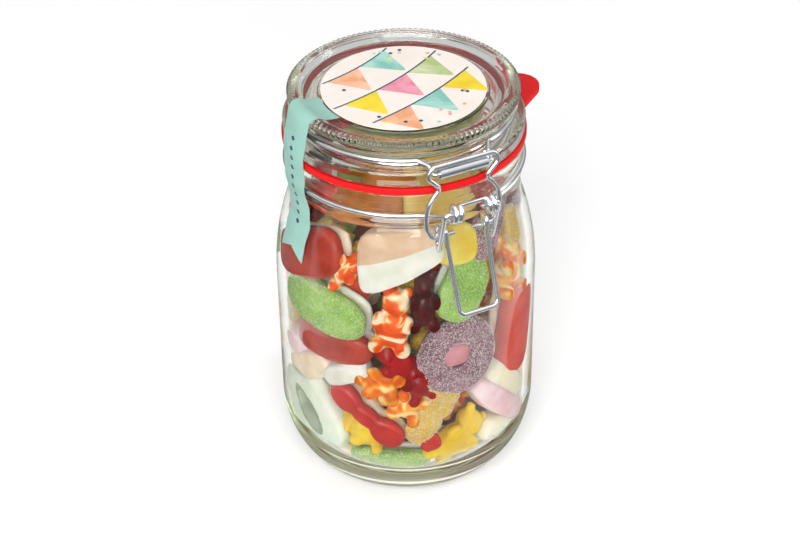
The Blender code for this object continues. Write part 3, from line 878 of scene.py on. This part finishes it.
def press_on_glass(sweet, angle, height, thickness, tilt, behind):
    """Tilt a sweet and squeeze it flat on the wall; angle from the latch, + towards the tab."""
    x, depth, z = read_points(sweet.data).T
    lean = math.radians(tilt)
    across = x * math.cos(lean) - z * math.sin(lean)
    up = height + x * math.sin(lean) + z * math.cos(lean)
    lowest = FLOOR_Z + FLOOR_AIR + FLOOR_SPREAD * (thickness / 2 + depth)
    up = np.clip(up, lowest, SWEETS_TOP_Z)
    free_r = PRESSED - behind - thickness / 2 - depth
    limit = np.interp(up, HEEL_ZONE, [-HEEL_AIR, INTO_WALL])
    pressed_by = np.logaddexp(0.0, (limit - free_r) / EDGE_SOFTNESS) * EDGE_SOFTNESS
    r = wall_radius(up) + limit - pressed_by
    bend_r = max(float(wall_radius(np.array(height))) - behind, LEAST_R)
    turned = math.radians(angle) + across / bend_r
    bent = np.stack([r * np.sin(turned), -r * np.cos(turned), up], axis=1)
    write_points(sweet.data, bent * MM)
    return sweet


def gather(name, sweets):
    """Join the copies of one kind into one piece that rides with the jar."""
    heap = join(sweets, name)
    heap.data.shade_smooth()
    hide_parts("candy_heap")
    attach(heap, "jar")
    return heap


def press_all(name, rows, draw):
    """Press a copy of a mould on the glass for each row and gather them in one piece."""
    sweets = []
    for mould, angle, height, size, tilt, behind, paints in rows:
        sweet = copy_of(mould, size, draw, paints)
        sweets.append(press_on_glass(sweet, angle, height, size[1], tilt, behind))
    return gather(name, sweets)


def free_spots():
    """Where the sweets lie that no row places, as (angle, height, behind, width, tall, tilt)."""
    draw = random.Random(23)
    spots = []
    layers = (
        (60, 254, 7, (20, 37, 54, 71, 88, 105, 122), 0.0),
        (0, 360, 8, (22, 42, 62, 82, 102, 121), 10.5),
    )
    for first, last, across, heights, behind in layers:
        step = (last - first) / across
        for row, height in enumerate(heights):
            for column in range(across):
                angle = first + (column + 0.5 + 0.5 * (row % 2) * (across == 8)) * step
                angle += draw.uniform(-4, 4)
                width = draw.uniform(27, 36)
                tall = draw.uniform(16, 21)
                tilt = draw.uniform(-32, 32)
                spots.append((angle, height, behind + draw.uniform(0, 1.5), width, tall, tilt))
    draw.shuffle(spots)
    return spots


spots = free_spots()


def fill_rows(kind_number, thickness):
    """One kind's share of the free spots, as (angle, height, size, tilt, behind)."""
    rows = []
    for angle, height, behind, width, tall, tilt in spots[kind_number::KINDS]:
        rows.append((angle, height, (width, thickness, tall), tilt, behind))
    return rows


# Sugared tongues.  Long soft tongues in sour sugar, apple green on a foam back that
# shows as a pale edge.
PILLOW_CUTS = 9
LAYER_LAP = 0.12


def to_unit(mould):
    """Scale a mould so that it just fills a unit cube round the origin."""
    points = read_points(mould.data)
    low, high = points.min(axis=0), points.max(axis=0)
    write_points(mould.data, (points - (low + high) / 2) / (high - low))
    return mould


def pillow(name, squareness):
    """A soft block: a cube divided, rounded to a ball, then pushed back towards a box."""
    bpy.ops.object.select_all(action="DESELECT")
    bpy.ops.mesh.primitive_cube_add(size=2.0)
    mould = bpy.context.object
    mould.name = name
    bpy.ops.object.mode_set(mode="EDIT")
    bpy.ops.mesh.subdivide(number_cuts=PILLOW_CUTS)
    bpy.ops.transform.tosphere(value=1.0)
    bpy.ops.object.mode_set(mode="OBJECT")
    points = read_points(mould.data)
    points /= np.linalg.norm(points, axis=1, keepdims=True)
    write_points(mould.data, np.sign(points) * np.abs(points) ** np.array(squareness))
    return to_unit(mould)


def layered(name, face, base, face_share, rim):
    """A jelly or sugar face (slot 0) set on a foam base (slot 1) a little wider than it."""
    front, rear = face.copy(), base.copy()
    front.data, rear.data = face.data.copy(), base.data.copy()
    layers = [bpy.data.materials.new(f"{name}_{number}") for number in range(2)]
    base_share = 1.0 + LAYER_LAP - face_share
    for part, scale, centre, slot_number in (
        (front, (1.0 - rim, face_share, 1.0 - rim), -0.5 + face_share / 2, 0),
        (rear, (1.0, base_share, 1.0), 0.5 - base_share / 2, 1),
    ):
        points = read_points(part.data) * np.array(scale)
        points[:, 1] += centre
        write_points(part.data, points)
        for layer in layers:
            part.data.materials.append(layer)
        part.data.polygons.foreach_set("material_index", [slot_number] * len(part.data.polygons))
        bpy.context.scene.collection.objects.link(part)
    return join([front, rear], name)


def soft_inside(look, weight, reach):
    """Light that enters a sweet and comes out again; reach is in metres, red to blue."""
    material, tree, shader = look[:3]
    depths = {"Subsurface Weight": weight, "Subsurface Scale": 1.0, "Subsurface Radius": reach}
    feed(tree, shader, depths)
    return material


def foam(name, dark, light):
    """Beaten marshmallow gum: opaque, satin, with a skin of tiny closed bubbles."""
    look = skin(name, 0.48, 0.25, [(0.35, dark), (0.65, light)], (120.0,), (900.0, 0.25, 0.00025))
    return soft_inside(look, 0.45, (0.0020, 0.0014, 0.0010))


def sugared(name, dark, light, grain):
    """Gum rolled in sour sugar: its colour between pale grains, and a rough skin."""
    material, tree, shader = new_material(name)
    place, _, colour = cloudy(tree, shader, [(0.30, dark), (0.70, light)], 130.0)
    grains = add_node(tree, "TexVoronoi", {"Vector": place, "Scale": 1300.0}).outputs["Distance"]
    spread = graded(tree, grains, (0.22, 0.42), (0.50, 0.0))
    coated = mixed(tree, spread, colour, shade(*grain), "RGBA")
    feed(tree, shader, {"Base Color": coated, "Roughness": 0.55, "Specular IOR Level": 0.25})
    bumped(tree, shader, grains, 0.8, 0.0004)
    return soft_inside((material, tree, shader), 0.35, (0.0022, 0.0016, 0.0010))


FOAM_WHITE = foam("white_foam", (226, 228, 214), (242, 243, 236))
GREEN_SUGAR = sugared("green_sugar", (134, 182, 72), (176, 218, 110), (230, 240, 208))
YELLOW_SUGAR = sugared("yellow_sugar", (208, 162, 22), (236, 200, 62), (248, 232, 160))
PURPLE_SUGAR = sugared("purple_sugar", (128, 88, 100), (168, 126, 138), (216, 204, 208))
tongue_face = pillow("tongue_face", (0.72, 0.8, 0.72))
tongue_back = pillow("tongue_back", (0.66, 0.6, 0.66))
tongue_mould = layered("sugared_tongue", tongue_face, tongue_back, 0.84, 0.05)
tongue_draw = random.Random(3)
tongue_paints = [GREEN_SUGAR, FOAM_WHITE]
tongue_rows = [
    (tongue_mould, -71, 94.5, (48, 12, 22), -6, 0.0, tongue_paints),
    (tongue_mould, 2, 108, (31, 12, 21), 55, 0.0, tongue_paints),
    (tongue_mould, -36, 22, (39, 12, 13), 3, 0.0, tongue_paints),
    (tongue_mould, -67, 38, (40, 11, 10), -60, 4.5, tongue_paints),
]
for number, row in enumerate(fill_rows(0, 11), start=len(tongue_rows)):
    tongue_rows.append((tongue_mould, *row, [GREEN_SUGAR if number % 3 else YELLOW_SUGAR, FOAM_WHITE]))
tongue_heap = press_all("sugared_tongues", tongue_rows, tongue_draw)


# Jellies on foam.  Clear red and yellow fruit jelly poured on a foam base, moulded as
# ovals and peanuts, the foam standing out round the jelly as a thin rim.
def melted(name, balls, voxel=0.9, rounds=6):
    """Balls (x, y, z, rx, ry, rz) in mm melted into one soft shape."""
    bpy.ops.object.select_all(action="DESELECT")
    parts = []
    for x, y, z, rx, ry, rz in balls:
        bpy.ops.mesh.primitive_uv_sphere_add(segments=20, ring_count=12, location=(x, y, z))
        ball = bpy.context.object
        ball.scale = (rx, ry, rz)
        parts.append(ball)
    mould = join(parts, name)
    bpy.ops.object.transform_apply(location=True, rotation=True, scale=True)
    remesh = mould.modifiers.new("skin", "REMESH")
    remesh.mode = "VOXEL"
    remesh.voxel_size = voxel
    bpy.ops.object.modifier_apply(modifier="skin")
    smooth = mould.modifiers.new("soften", "SMOOTH")
    smooth.factor = 0.5
    smooth.iterations = rounds
    bpy.ops.object.modifier_apply(modifier="soften")
    return to_unit(mould)


def gum(name, dark, light):
    """Clear fruit gum: coloured right through, with a wet-looking oiled skin."""
    look = skin(name, 0.11, 0.18, [(0.30, dark), (0.72, light)], (95.0,), (260.0, 0.22, 0.0006))
    return soft_inside(look, 0.55, (0.0040, 0.0018, 0.0012))


FOAM_PEACH = foam("peach_foam", (240, 216, 188), (252, 238, 216))
FOAM_PINK = foam("pink_foam", (249, 206, 212), (254, 232, 236))
JELLY_DARK = gum("dark_red_jelly", (160, 48, 33), (200, 78, 58))
JELLY_RED = gum("red_jelly", (182, 22, 14), (208, 48, 32))
JELLY_SALMON = gum("salmon_jelly", (216, 66, 46), (234, 96, 76))
JELLY_YELLOW = gum("yellow_jelly", (236, 204, 78), (250, 230, 138))
JELLY_AMBER = gum("amber_jelly", (158, 78, 16), (212, 146, 70))
JELLY_STRAW = gum("straw_jelly", (208, 172, 74), (232, 202, 120))
JELLY_OLIVE = gum("olive_jelly", (136, 140, 60), (170, 170, 86))
oval_face = pillow("oval_face", (0.66, 0.75, 0.66))
oval_base = pillow("oval_base", (0.62, 0.55, 0.62))
oval_mould = layered("jelly_oval", oval_face, oval_base, 0.78, 0.05)
peanut_balls = [(-12, 0, 0, 9, 5, 6.6), (0, 0, 0, 9, 4.6, 4.6), (12, 0, 0, 9, 5, 6.9)]
peanut_face = melted("peanut_face", peanut_balls)
peanut_mould = layered("jelly_peanut", peanut_face, peanut_face, 0.64, 0.09)
jelly_draw = random.Random(5)
jelly_rows = [
    (oval_mould, -85, 115, (46, 12, 23), 22, 0.0, [JELLY_DARK, FOAM_PEACH]),
    (oval_mould, -66, 78, (43, 12, 17), 6, 1.0, [JELLY_DARK, FOAM_PEACH]),
    (peanut_mould, -46.6, 46.3, (44, 13, 14), -38, 0.0, [JELLY_RED, FOAM_PEACH]),
    (oval_mould, 37, 73, (48, 12, 23), 80, 0.0, [JELLY_SALMON, FOAM_PEACH]),
    (oval_mould, 0.5, 128.5, (20, 9, 18), -8, 0.0, [JELLY_YELLOW, FOAM_WHITE]),
    (oval_mould, -15.6, 34, (9, 8, 8), 20, 0.5, [JELLY_RED, FOAM_PINK]),
]
fill_jellies = (JELLY_RED, JELLY_DARK, JELLY_SALMON, JELLY_YELLOW)
for number, row in enumerate(fill_rows(1, 11)):
    mould = peanut_mould if number % 3 == 0 else oval_mould
    base = FOAM_PINK if number % 2 else FOAM_PEACH
    jelly_rows.append((mould, *row, [fill_jellies[number % 4], base]))
press_all("jellies_on_foam", jelly_rows, jelly_draw)


# Foam pieces.  Plain beaten foam in peach, white, pink and pale yellow, a two-colour
# slice, and an oval that is open as a slit in the middle, the inside of its slit given a
# duller, darker mint as painted shade.
SLICE_WIDE = 0.76
SLICE_TAPER = 0.48
SLICE_TOP_SHARE = 0.62
SHADED_SLIT_HALF = (0.17, 0.27)
FOAM_MINT = foam("mint_foam", (228, 240, 222), (242, 249, 234))
FOAM_CREAM = foam("cream_foam", (249, 240, 208), (254, 250, 232))
SLICE_PEACH = foam("slice_peach", (214, 180, 146), (232, 206, 176))
HEART_PINK = foam("pink_heart", (206, 136, 146), (222, 160, 168))
# Painted shade: a duller, darker mint for the faces inside the slit, where the hollow lies in shadow.
SLIT_PAINTED_SHADE = foam("slit_painted_shade", (150, 166, 136), (176, 190, 160))


def two_paints(mould, names, takes_second):
    """Give a mould two slots, the second on the faces that takes_second picks."""
    for name in names:
        mould.data.materials.append(bpy.data.materials.new(name))
    for face in mould.data.polygons:
        face.material_index = int(takes_second(face.center))


def in_slice_top(spot):
    return 0.5 - spot.z < SLICE_TOP_SHARE * (SLICE_WIDE - SLICE_TAPER * spot.x)


# The faces inside the slit, which take the painted shade.
def in_shaded_slit(spot):
    return (spot.x / SHADED_SLIT_HALF[0]) ** 2 + (spot.z / SHADED_SLIT_HALF[1]) ** 2 < 1.0


slice_mould = pillow("slice", (0.36, 0.45, 0.36))
slice_points = read_points(slice_mould.data)
taper = SLICE_WIDE - SLICE_TAPER * slice_points[:, 0]
slice_points[:, 2] = 0.5 - (0.5 - slice_points[:, 2]) * taper
write_points(slice_mould.data, slice_points)
two_paints(slice_mould, ("slice_low", "slice_high"), in_slice_top)
to_unit(slice_mould)
foam_mould = pillow("foam_piece", (0.62, 0.6, 0.62))
slit_path = [(8.8 * math.cos(a), 13.6 * math.sin(a)) for a in np.linspace(0, math.tau, 18)[:-1]]
slit_balls = [(x, 0, z, 6.2 + 0.012 * z * z, 5.0, 6.5) for x, z in slit_path]
slit_mould = melted("slit_oval", slit_balls)
two_paints(slit_mould, ("slit_outside", "slit_inside_painted_shade"), in_shaded_slit)
foam_draw = random.Random(7)
foam_rows = [
    (slice_mould, -26.6, 124.5, (40, 13, 26), 7, 0.0, [FOAM_WHITE, SLICE_PEACH]),
    (foam_mould, -80, 61, (29, 11, 13), 28, 0.5, [FOAM_PEACH]),
    (foam_mould, -57, 66, (24, 11, 11), 30, 1.0, [FOAM_WHITE]),
    (foam_mould, -90, 68, (13, 9, 11), 0, 1.0, [FOAM_PINK]),
    (foam_mould, 29, 49, (31, 11, 15), -54, 1.0, [FOAM_CREAM]),
    (foam_mould, 24, 42, (44, 12, 12), -46, 0.0, [FOAM_PINK]),
    (foam_mould, -1.5, 75.5, (14, 8, 12), 0, 4.0, [HEART_PINK]),
    (foam_mould, 26, 26, (28, 11, 13), -22, 1.0, [FOAM_CREAM]),
    (foam_mould, -72, 20, (31, 10, 9), 8, 0.5, [FOAM_PEACH]),
    (slit_mould, -79, 38, (31, 11, 45), 42, 0.0, [FOAM_MINT, SLIT_PAINTED_SHADE]),
]
fill_foams = (FOAM_PEACH, FOAM_WHITE, FOAM_PINK, FOAM_MINT, FOAM_CREAM)
for number, row in enumerate(fill_rows(2, 11)):
    foam_rows.append((foam_mould, *row, [fill_foams[number % 5]]))
press_all("foam_pieces", foam_rows, foam_draw)


# Bears.  Little bears cast in starch: some of orange gum folded into white foam, some
# of clear red or golden gum.
ASKEW = 2.5
bear_balls = [
    (0.0, 0.0, -3.0, 6.0, 4.6, 7.6), (0.0, 0.0, 7.4, 5.0, 4.4, 4.8),
    (-3.9, 0.0, 11.5, 1.9, 1.7, 1.9), (3.9, 0.0, 11.5, 1.9, 1.7, 1.9),
    (0.0, -3.6, 6.6, 2.3, 1.9, 1.8),
    (-4.7, -3.2, 1.4, 2.1, 2.3, 3.4), (4.7, -3.2, 1.4, 2.1, 2.3, 3.4),
    (-4.3, -2.4, -9.2, 2.7, 3.6, 2.9), (4.3, -2.4, -9.2, 2.7, 3.6, 2.9),
]
bear_mould = melted("bear", bear_balls, voxel=0.72, rounds=3)


def marbled(name, stops):
    """Two gums folded together and not quite mixed."""
    look = skin(name, 0.26, 0.25, stops, (105.0, 1.0, 1.6), (300.0, 0.3, 0.0005))
    return soft_inside(look, 0.4, (0.0025, 0.0014, 0.0008))


def fill_bears(kind_number, size, paints):
    """One kind's share of the free spots for bears, which lie more askew than the rest."""
    rows = []
    for number, (angle, height, _, tilt, behind) in enumerate(fill_rows(kind_number, size[1])):
        paint = paints[number % len(paints)]
        rows.append((bear_mould, angle, height, size, tilt * ASKEW, behind, [paint]))
    return rows


MARBLE_PALE = marbled("pale_marbled_gum", [
    (0.42, (248, 230, 198)), (0.48, (244, 186, 112)), (0.53, (238, 104, 16)), (0.64, (226, 74, 4)),
])
MARBLE_DEEP = marbled("deep_marbled_gum", [
    (0.34, (246, 218, 158)), (0.42, (244, 176, 58)), (0.50, (236, 126, 2)), (0.64, (222, 92, 0)),
])
bear_draw = random.Random(9)
marbled_rows = [
    (bear_mould, -32.7, 96, (18, 13, 31), -8, 0.0, [MARBLE_PALE]),
    (bear_mould, 35.6, 106.4, (17, 12, 28), -8, 0.0, [MARBLE_DEEP]),
    (bear_mould, -42.2, 65, (17, 12, 25), 76, 0.0, [MARBLE_DEEP]),
    (bear_mould, -29.9, 54.5, (16, 12, 23), 62, 0.5, [MARBLE_DEEP]),
    (bear_mould, -58.7, 115, (13, 10, 21), -55, 3.0, [MARBLE_PALE]),
]
marbled_rows += fill_bears(3, (15, 12, 25), (MARBLE_PALE, MARBLE_DEEP))
press_all("marbled_bears", marbled_rows, bear_draw)

GUM_BURGUNDY = gum("burgundy_gum", (58, 3, 5), (92, 10, 12))
GUM_RED = gum("red_gum", (146, 3, 6), (184, 14, 12))
GUM_GOLD = gum("golden_gum", (222, 184, 4), (246, 216, 30))
clear_rows = [
    (bear_mould, -17.6, 105.2, (13, 12, 26), -3, 0.0, [GUM_BURGUNDY]),
    (bear_mould, -31, 74.5, (15, 12, 25), 48, 1.0, [GUM_RED]),
    (bear_mould, -22, 66, (13, 11, 21), 20, 0.5, [GUM_RED]),
    (bear_mould, -0.4, 31, (19, 13, 33), -52, 0.0, [GUM_GOLD]),
    (bear_mould, -50, 36, (15, 11, 23), 74, 1.5, [GUM_GOLD]),
]
clear_rows += fill_bears(4, (16, 12, 27), (GUM_RED, GUM_GOLD, GUM_BURGUNDY))
press_all("clear_bears", clear_rows, bear_draw)


# Sugared dummies and strands.  A purple ring with a yellow teat, and straight strands,
# all rolled in coarse sour sugar.
bpy.ops.object.select_all(action="DESELECT")
bpy.ops.mesh.primitive_torus_add(
    major_segments=56, minor_segments=20, major_radius=0.335, minor_radius=0.165,
    rotation=(math.pi / 2, 0.0, 0.0),
)
ring_mould = bpy.context.object
ring_mould.name = "dummy_ring"
bpy.ops.object.transform_apply(location=True, rotation=True, scale=True)
to_unit(ring_mould)
teat_balls = [
    (0, 0, 11, 9.2, 5, 5.5), (0, 0, 4, 8.4, 5.4, 6), (0, 0, -4, 6.6, 5, 6),
    (-1, 0, -11, 7.2, 5, 6),
]
teat_mould = melted("dummy_teat", teat_balls)
strand_mould = pillow("strand", (0.55, 0.7, 0.7))
sugar_draw = random.Random(13)
sugar_rows = [
    (ring_mould, -1.5, 76, (36.5, 11, 38), -18, 0.0, [PURPLE_SUGAR]),
    (teat_mould, -14.5, 48, (18, 11, 34), -24, 0.4, [YELLOW_SUGAR]),
    (strand_mould, 28, 132, (38, 9, 9), 48, 0.5, [PURPLE_SUGAR]),
    (strand_mould, 12, 124, (24, 9, 9), 60, 2.0, [PURPLE_SUGAR]),
    (strand_mould, 39, 124, (18, 9, 9), 80, 0.5, [YELLOW_SUGAR]),
    (strand_mould, 58, 51, (42, 10, 13), 72, 0.0, [YELLOW_SUGAR]),
]
for number, (angle, height, size, tilt, behind) in enumerate(fill_rows(5, 10)):
    mould = ring_mould if number % 5 == 0 and height < 120 else strand_mould
    size = (34, 10, 34) if mould is ring_mould else (size[0], 10, 10.5)
    paint = (PURPLE_SUGAR, YELLOW_SUGAR)[number % 2]
    sugar_rows.append((mould, angle, height, size, tilt, behind, [paint]))
sugar_heap = press_all("sugared_dummies", sugar_rows, sugar_draw)


# Sweets in the neck.  Smooth jellies wedged in the neck and up into the hollow lid, amber
# and yellow at the latch.
NECK_SIZE = (33, 9, 15)
NECK_TILT = 13
neck_faces = (
    JELLY_AMBER, JELLY_STRAW, JELLY_DARK, JELLY_RED,
    JELLY_SALMON, JELLY_YELLOW, JELLY_DARK, JELLY_SALMON,
)
neck_draw = random.Random(29)
neck_sweets = []
for number in range(16):
    level, place = divmod(number, 8)
    sweet = copy_of(oval_mould, NECK_SIZE, neck_draw, [neck_faces[place], FOAM_PEACH])
    angle, height = -50 + 45 * place + 9 * level, 145.5 + 14 * level
    tilt = NECK_TILT * (-1) ** place + neck_draw.uniform(-5, 5)
    neck_sweets.append(press_on_glass(sweet, angle, height, NECK_SIZE[1], tilt, 0.6))
gather("sweets_in_neck", neck_sweets)


# Sweets under the lid.  The jar is filled to the brim, so the top ones lie flat below
# the lid's recess, red at the sides and green towards the latch.
TOP_SIZE = (30, 10, 19)
TOP_Z = 165.5
LID_FLOOR_Z = 172.3


def lie_on_top(sweet, middle, turn_by):
    """Lay a sweet flat under the lid, its face up, turned about the upright."""
    points = read_points(sweet.data)
    flat = np.stack([points[:, 0], points[:, 2], -points[:, 1]], axis=1)
    c, s = math.cos(math.radians(turn_by)), math.sin(math.radians(turn_by))
    x, y = flat[:, 0] * c - flat[:, 1] * s, flat[:, 0] * s + flat[:, 1] * c
    spun = np.stack([x, y, flat[:, 2]], axis=1) + np.array(middle)
    out = np.hypot(spun[:, 0], spun[:, 1])
    room = np.minimum(wall_radius(spun[:, 2]) / np.maximum(out, 1e-9), 1.0)
    spun[:, :2] *= room[:, None]
    spun[:, 2] = np.minimum(spun[:, 2], LID_FLOOR_Z)
    write_points(sweet.data, spun * MM)
    return sweet


top_rows = [
    (oval_mould, (-29, 5, TOP_Z + 2.4), 95, [JELLY_DARK, FOAM_PEACH]),
    (oval_mould, (29, 3, TOP_Z + 2.4), 85, [JELLY_DARK, FOAM_PEACH]),
    (oval_mould, (-14, 25, TOP_Z), 28, [FOAM_PEACH, FOAM_PEACH]),
    (oval_mould, (14, 25, TOP_Z), -25, [FOAM_WHITE, FOAM_PINK]),
    (tongue_mould, (2, -27, TOP_Z), 2, [JELLY_OLIVE, FOAM_WHITE]),
    (tongue_mould, (-22, -18, TOP_Z), -50, [JELLY_OLIVE, FOAM_WHITE]),
    (tongue_mould, (24, -18, TOP_Z), 50, [JELLY_OLIVE, FOAM_WHITE]),
    (oval_mould, (0, 0, TOP_Z), 20, [JELLY_RED, FOAM_PEACH]),
]
top_draw = random.Random(17)
top_sweets = []
for mould, middle, turn_by, paints in top_rows:
    sweet = copy_of(mould, TOP_SIZE, top_draw, paints)
    top_sweets.append(lie_on_top(sweet, middle, turn_by))
gather("sweets_under_lid", top_sweets)


# Middle of the heap.  Behind two layers of sweets only colours show between them, so
# the middle is one lumpy mass in the sweets' own colours.
core_outline = softened([
    (0.0, 160.0), (23.0, 160.0, 6.0), (26.0, 140.0, 8.0), (31.0, 100.0, 8.0),
    (32.0, 26.0, 8.0), (27.0, FLOOR_Z + 0.6, 3.0), (0.0, FLOOR_Z + 0.6),
])
core = turn("middle_of_heap", core_outline, steps=64)
bpy.ops.object.mode_set(mode="EDIT")
bpy.ops.mesh.select_all(action="SELECT")
bpy.ops.mesh.subdivide(number_cuts=2)
bpy.ops.object.mode_set(mode="OBJECT")
core_draw = random.Random(19)
write_points(core.data, uneven(read_points(core.data) / MM, 3.5, 22.0, core_draw) * MM)
core_paint, core_tree, core_shader = new_material("mixed_gum")
core_colours = [
    (150, 30, 22), (214, 120, 50), (196, 164, 70), (120, 140, 66), (220, 190, 150), (98, 24, 24),
]
core_stops = [(number / 6, shade(*colour)) for number, colour in enumerate(core_colours)]
core_place = core_tree.nodes.new("ShaderNodeTexCoord").outputs["Object"]
core_cells = add_node(core_tree, "TexVoronoi", {"Vector": core_place, "Scale": 75.0})
core_pick = add_node(core_tree, "SeparateColor", {"Color": core_cells.outputs["Color"]})
core_colour = banded(core_tree, core_pick.outputs["Red"], core_stops, "CONSTANT")
feed(core_tree, core_shader, {"Base Color": core_colour, "Roughness": 0.3})
core.data.materials.append(core_paint)
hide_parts("candy_heap")
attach(core, "jar")


# Sugar.  Loose-edged crystals about half a millimetre across, stuck all over the sour
# sweets where they face the glass.
SUGAR_DEEP = 8.0
SUGAR_HALF = (0.17, 0.31)


def sugar_on(name, heap, paints, per_mm2, seed):
    """Scatter crystals on the faces of a heap that are painted so and face outwards."""
    draw = np.random.default_rng(seed)
    mesh = heap.data
    mesh.calc_loop_triangles()
    corners = np.empty(len(mesh.loop_triangles) * 3, dtype=np.int32)
    mesh.loop_triangles.foreach_get("vertices", corners)
    slots = np.empty(len(mesh.loop_triangles), dtype=np.int32)
    mesh.loop_triangles.foreach_get("material_index", slots)
    wanted = [i for i, paint in enumerate(mesh.materials) if paint in paints]
    a, b, c = read_points(mesh)[corners.reshape(-1, 3).T] / MM
    normal = np.cross(b - a, c - a) / 2
    area = np.linalg.norm(normal, axis=1)
    middle = (a + b + c) / 3
    out = np.hypot(middle[:, 0], middle[:, 1])
    outward = normal[:, 0] * middle[:, 0] + normal[:, 1] * middle[:, 1]
    facing = outward / (out * area + 1e-9)
    near = out > wall_radius(middle[:, 2]) - SUGAR_DEEP
    chosen = np.isin(slots, wanted) & (facing > 0.05) & near
    weight = area * chosen
    count = int(weight.sum() * per_mm2)
    picks = draw.choice(len(weight), size=count, p=weight / weight.sum())
    u, v = draw.random((2, count, 1))
    fold = u + v > 1.0
    u, v = np.where(fold, 1.0 - u, u), np.where(fold, 1.0 - v, v)
    spots_on = a[picks] + (b[picks] - a[picks]) * u + (c[picks] - a[picks]) * v
    tips = [(1, 0, 0), (-1, 0, 0), (0, 1, 0), (0, -1, 0), (0, 0, 1), (0, 0, -1)]
    sides = np.array([
        (0, 2, 4), (2, 1, 4), (1, 3, 4), (3, 0, 4), (2, 0, 5), (1, 2, 5), (3, 1, 5), (0, 3, 5),
    ])
    turns = np.linalg.qr(draw.normal(size=(count, 3, 3)))[0]
    turns[np.linalg.det(turns) < 0] *= -1.0
    sizes = draw.uniform(*SUGAR_HALF, size=(count, 1, 3))
    crystal = np.array(tips, float)[None] * sizes
    points = np.einsum("nij,nkj->nki", turns, crystal) + spots_on[:, None]
    faces = sides[None] + (np.arange(count) * 6)[:, None, None]
    grains = bpy.data.meshes.new(name)
    grains.from_pydata((points.reshape(-1, 3) * MM).tolist(), [], faces.reshape(-1, 3).tolist())
    coat = bpy.data.objects.new(name, grains)
    bpy.context.scene.collection.objects.link(coat)
    grains.materials.append(crystal_paint)
    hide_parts("candy_heap")
    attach(coat, "jar")


crystal_paint, crystal_tree, crystal_shader = new_material("sour_sugar")
crystal_shader.inputs["Roughness"].default_value = 0.22
cloudy(crystal_tree, crystal_shader, [(0.3, (222, 214, 214)), (0.7, (244, 240, 238))], 700.0)
sugar_on("sugar_on_dummies", sugar_heap, [PURPLE_SUGAR, YELLOW_SUGAR], 2.2, 31)
sugar_on("sugar_on_tongues", tongue_heap, [GREEN_SUGAR, YELLOW_SUGAR], 0.8, 37)
for mould in (tongue_face, tongue_back, tongue_mould, oval_face, oval_base, oval_mould,
              peanut_face, peanut_mould, slice_mould, foam_mould, slit_mould, bear_mould,
              ring_mould, teat_mould, strand_mould):
    bpy.data.objects.remove(mould, do_unlink=True)
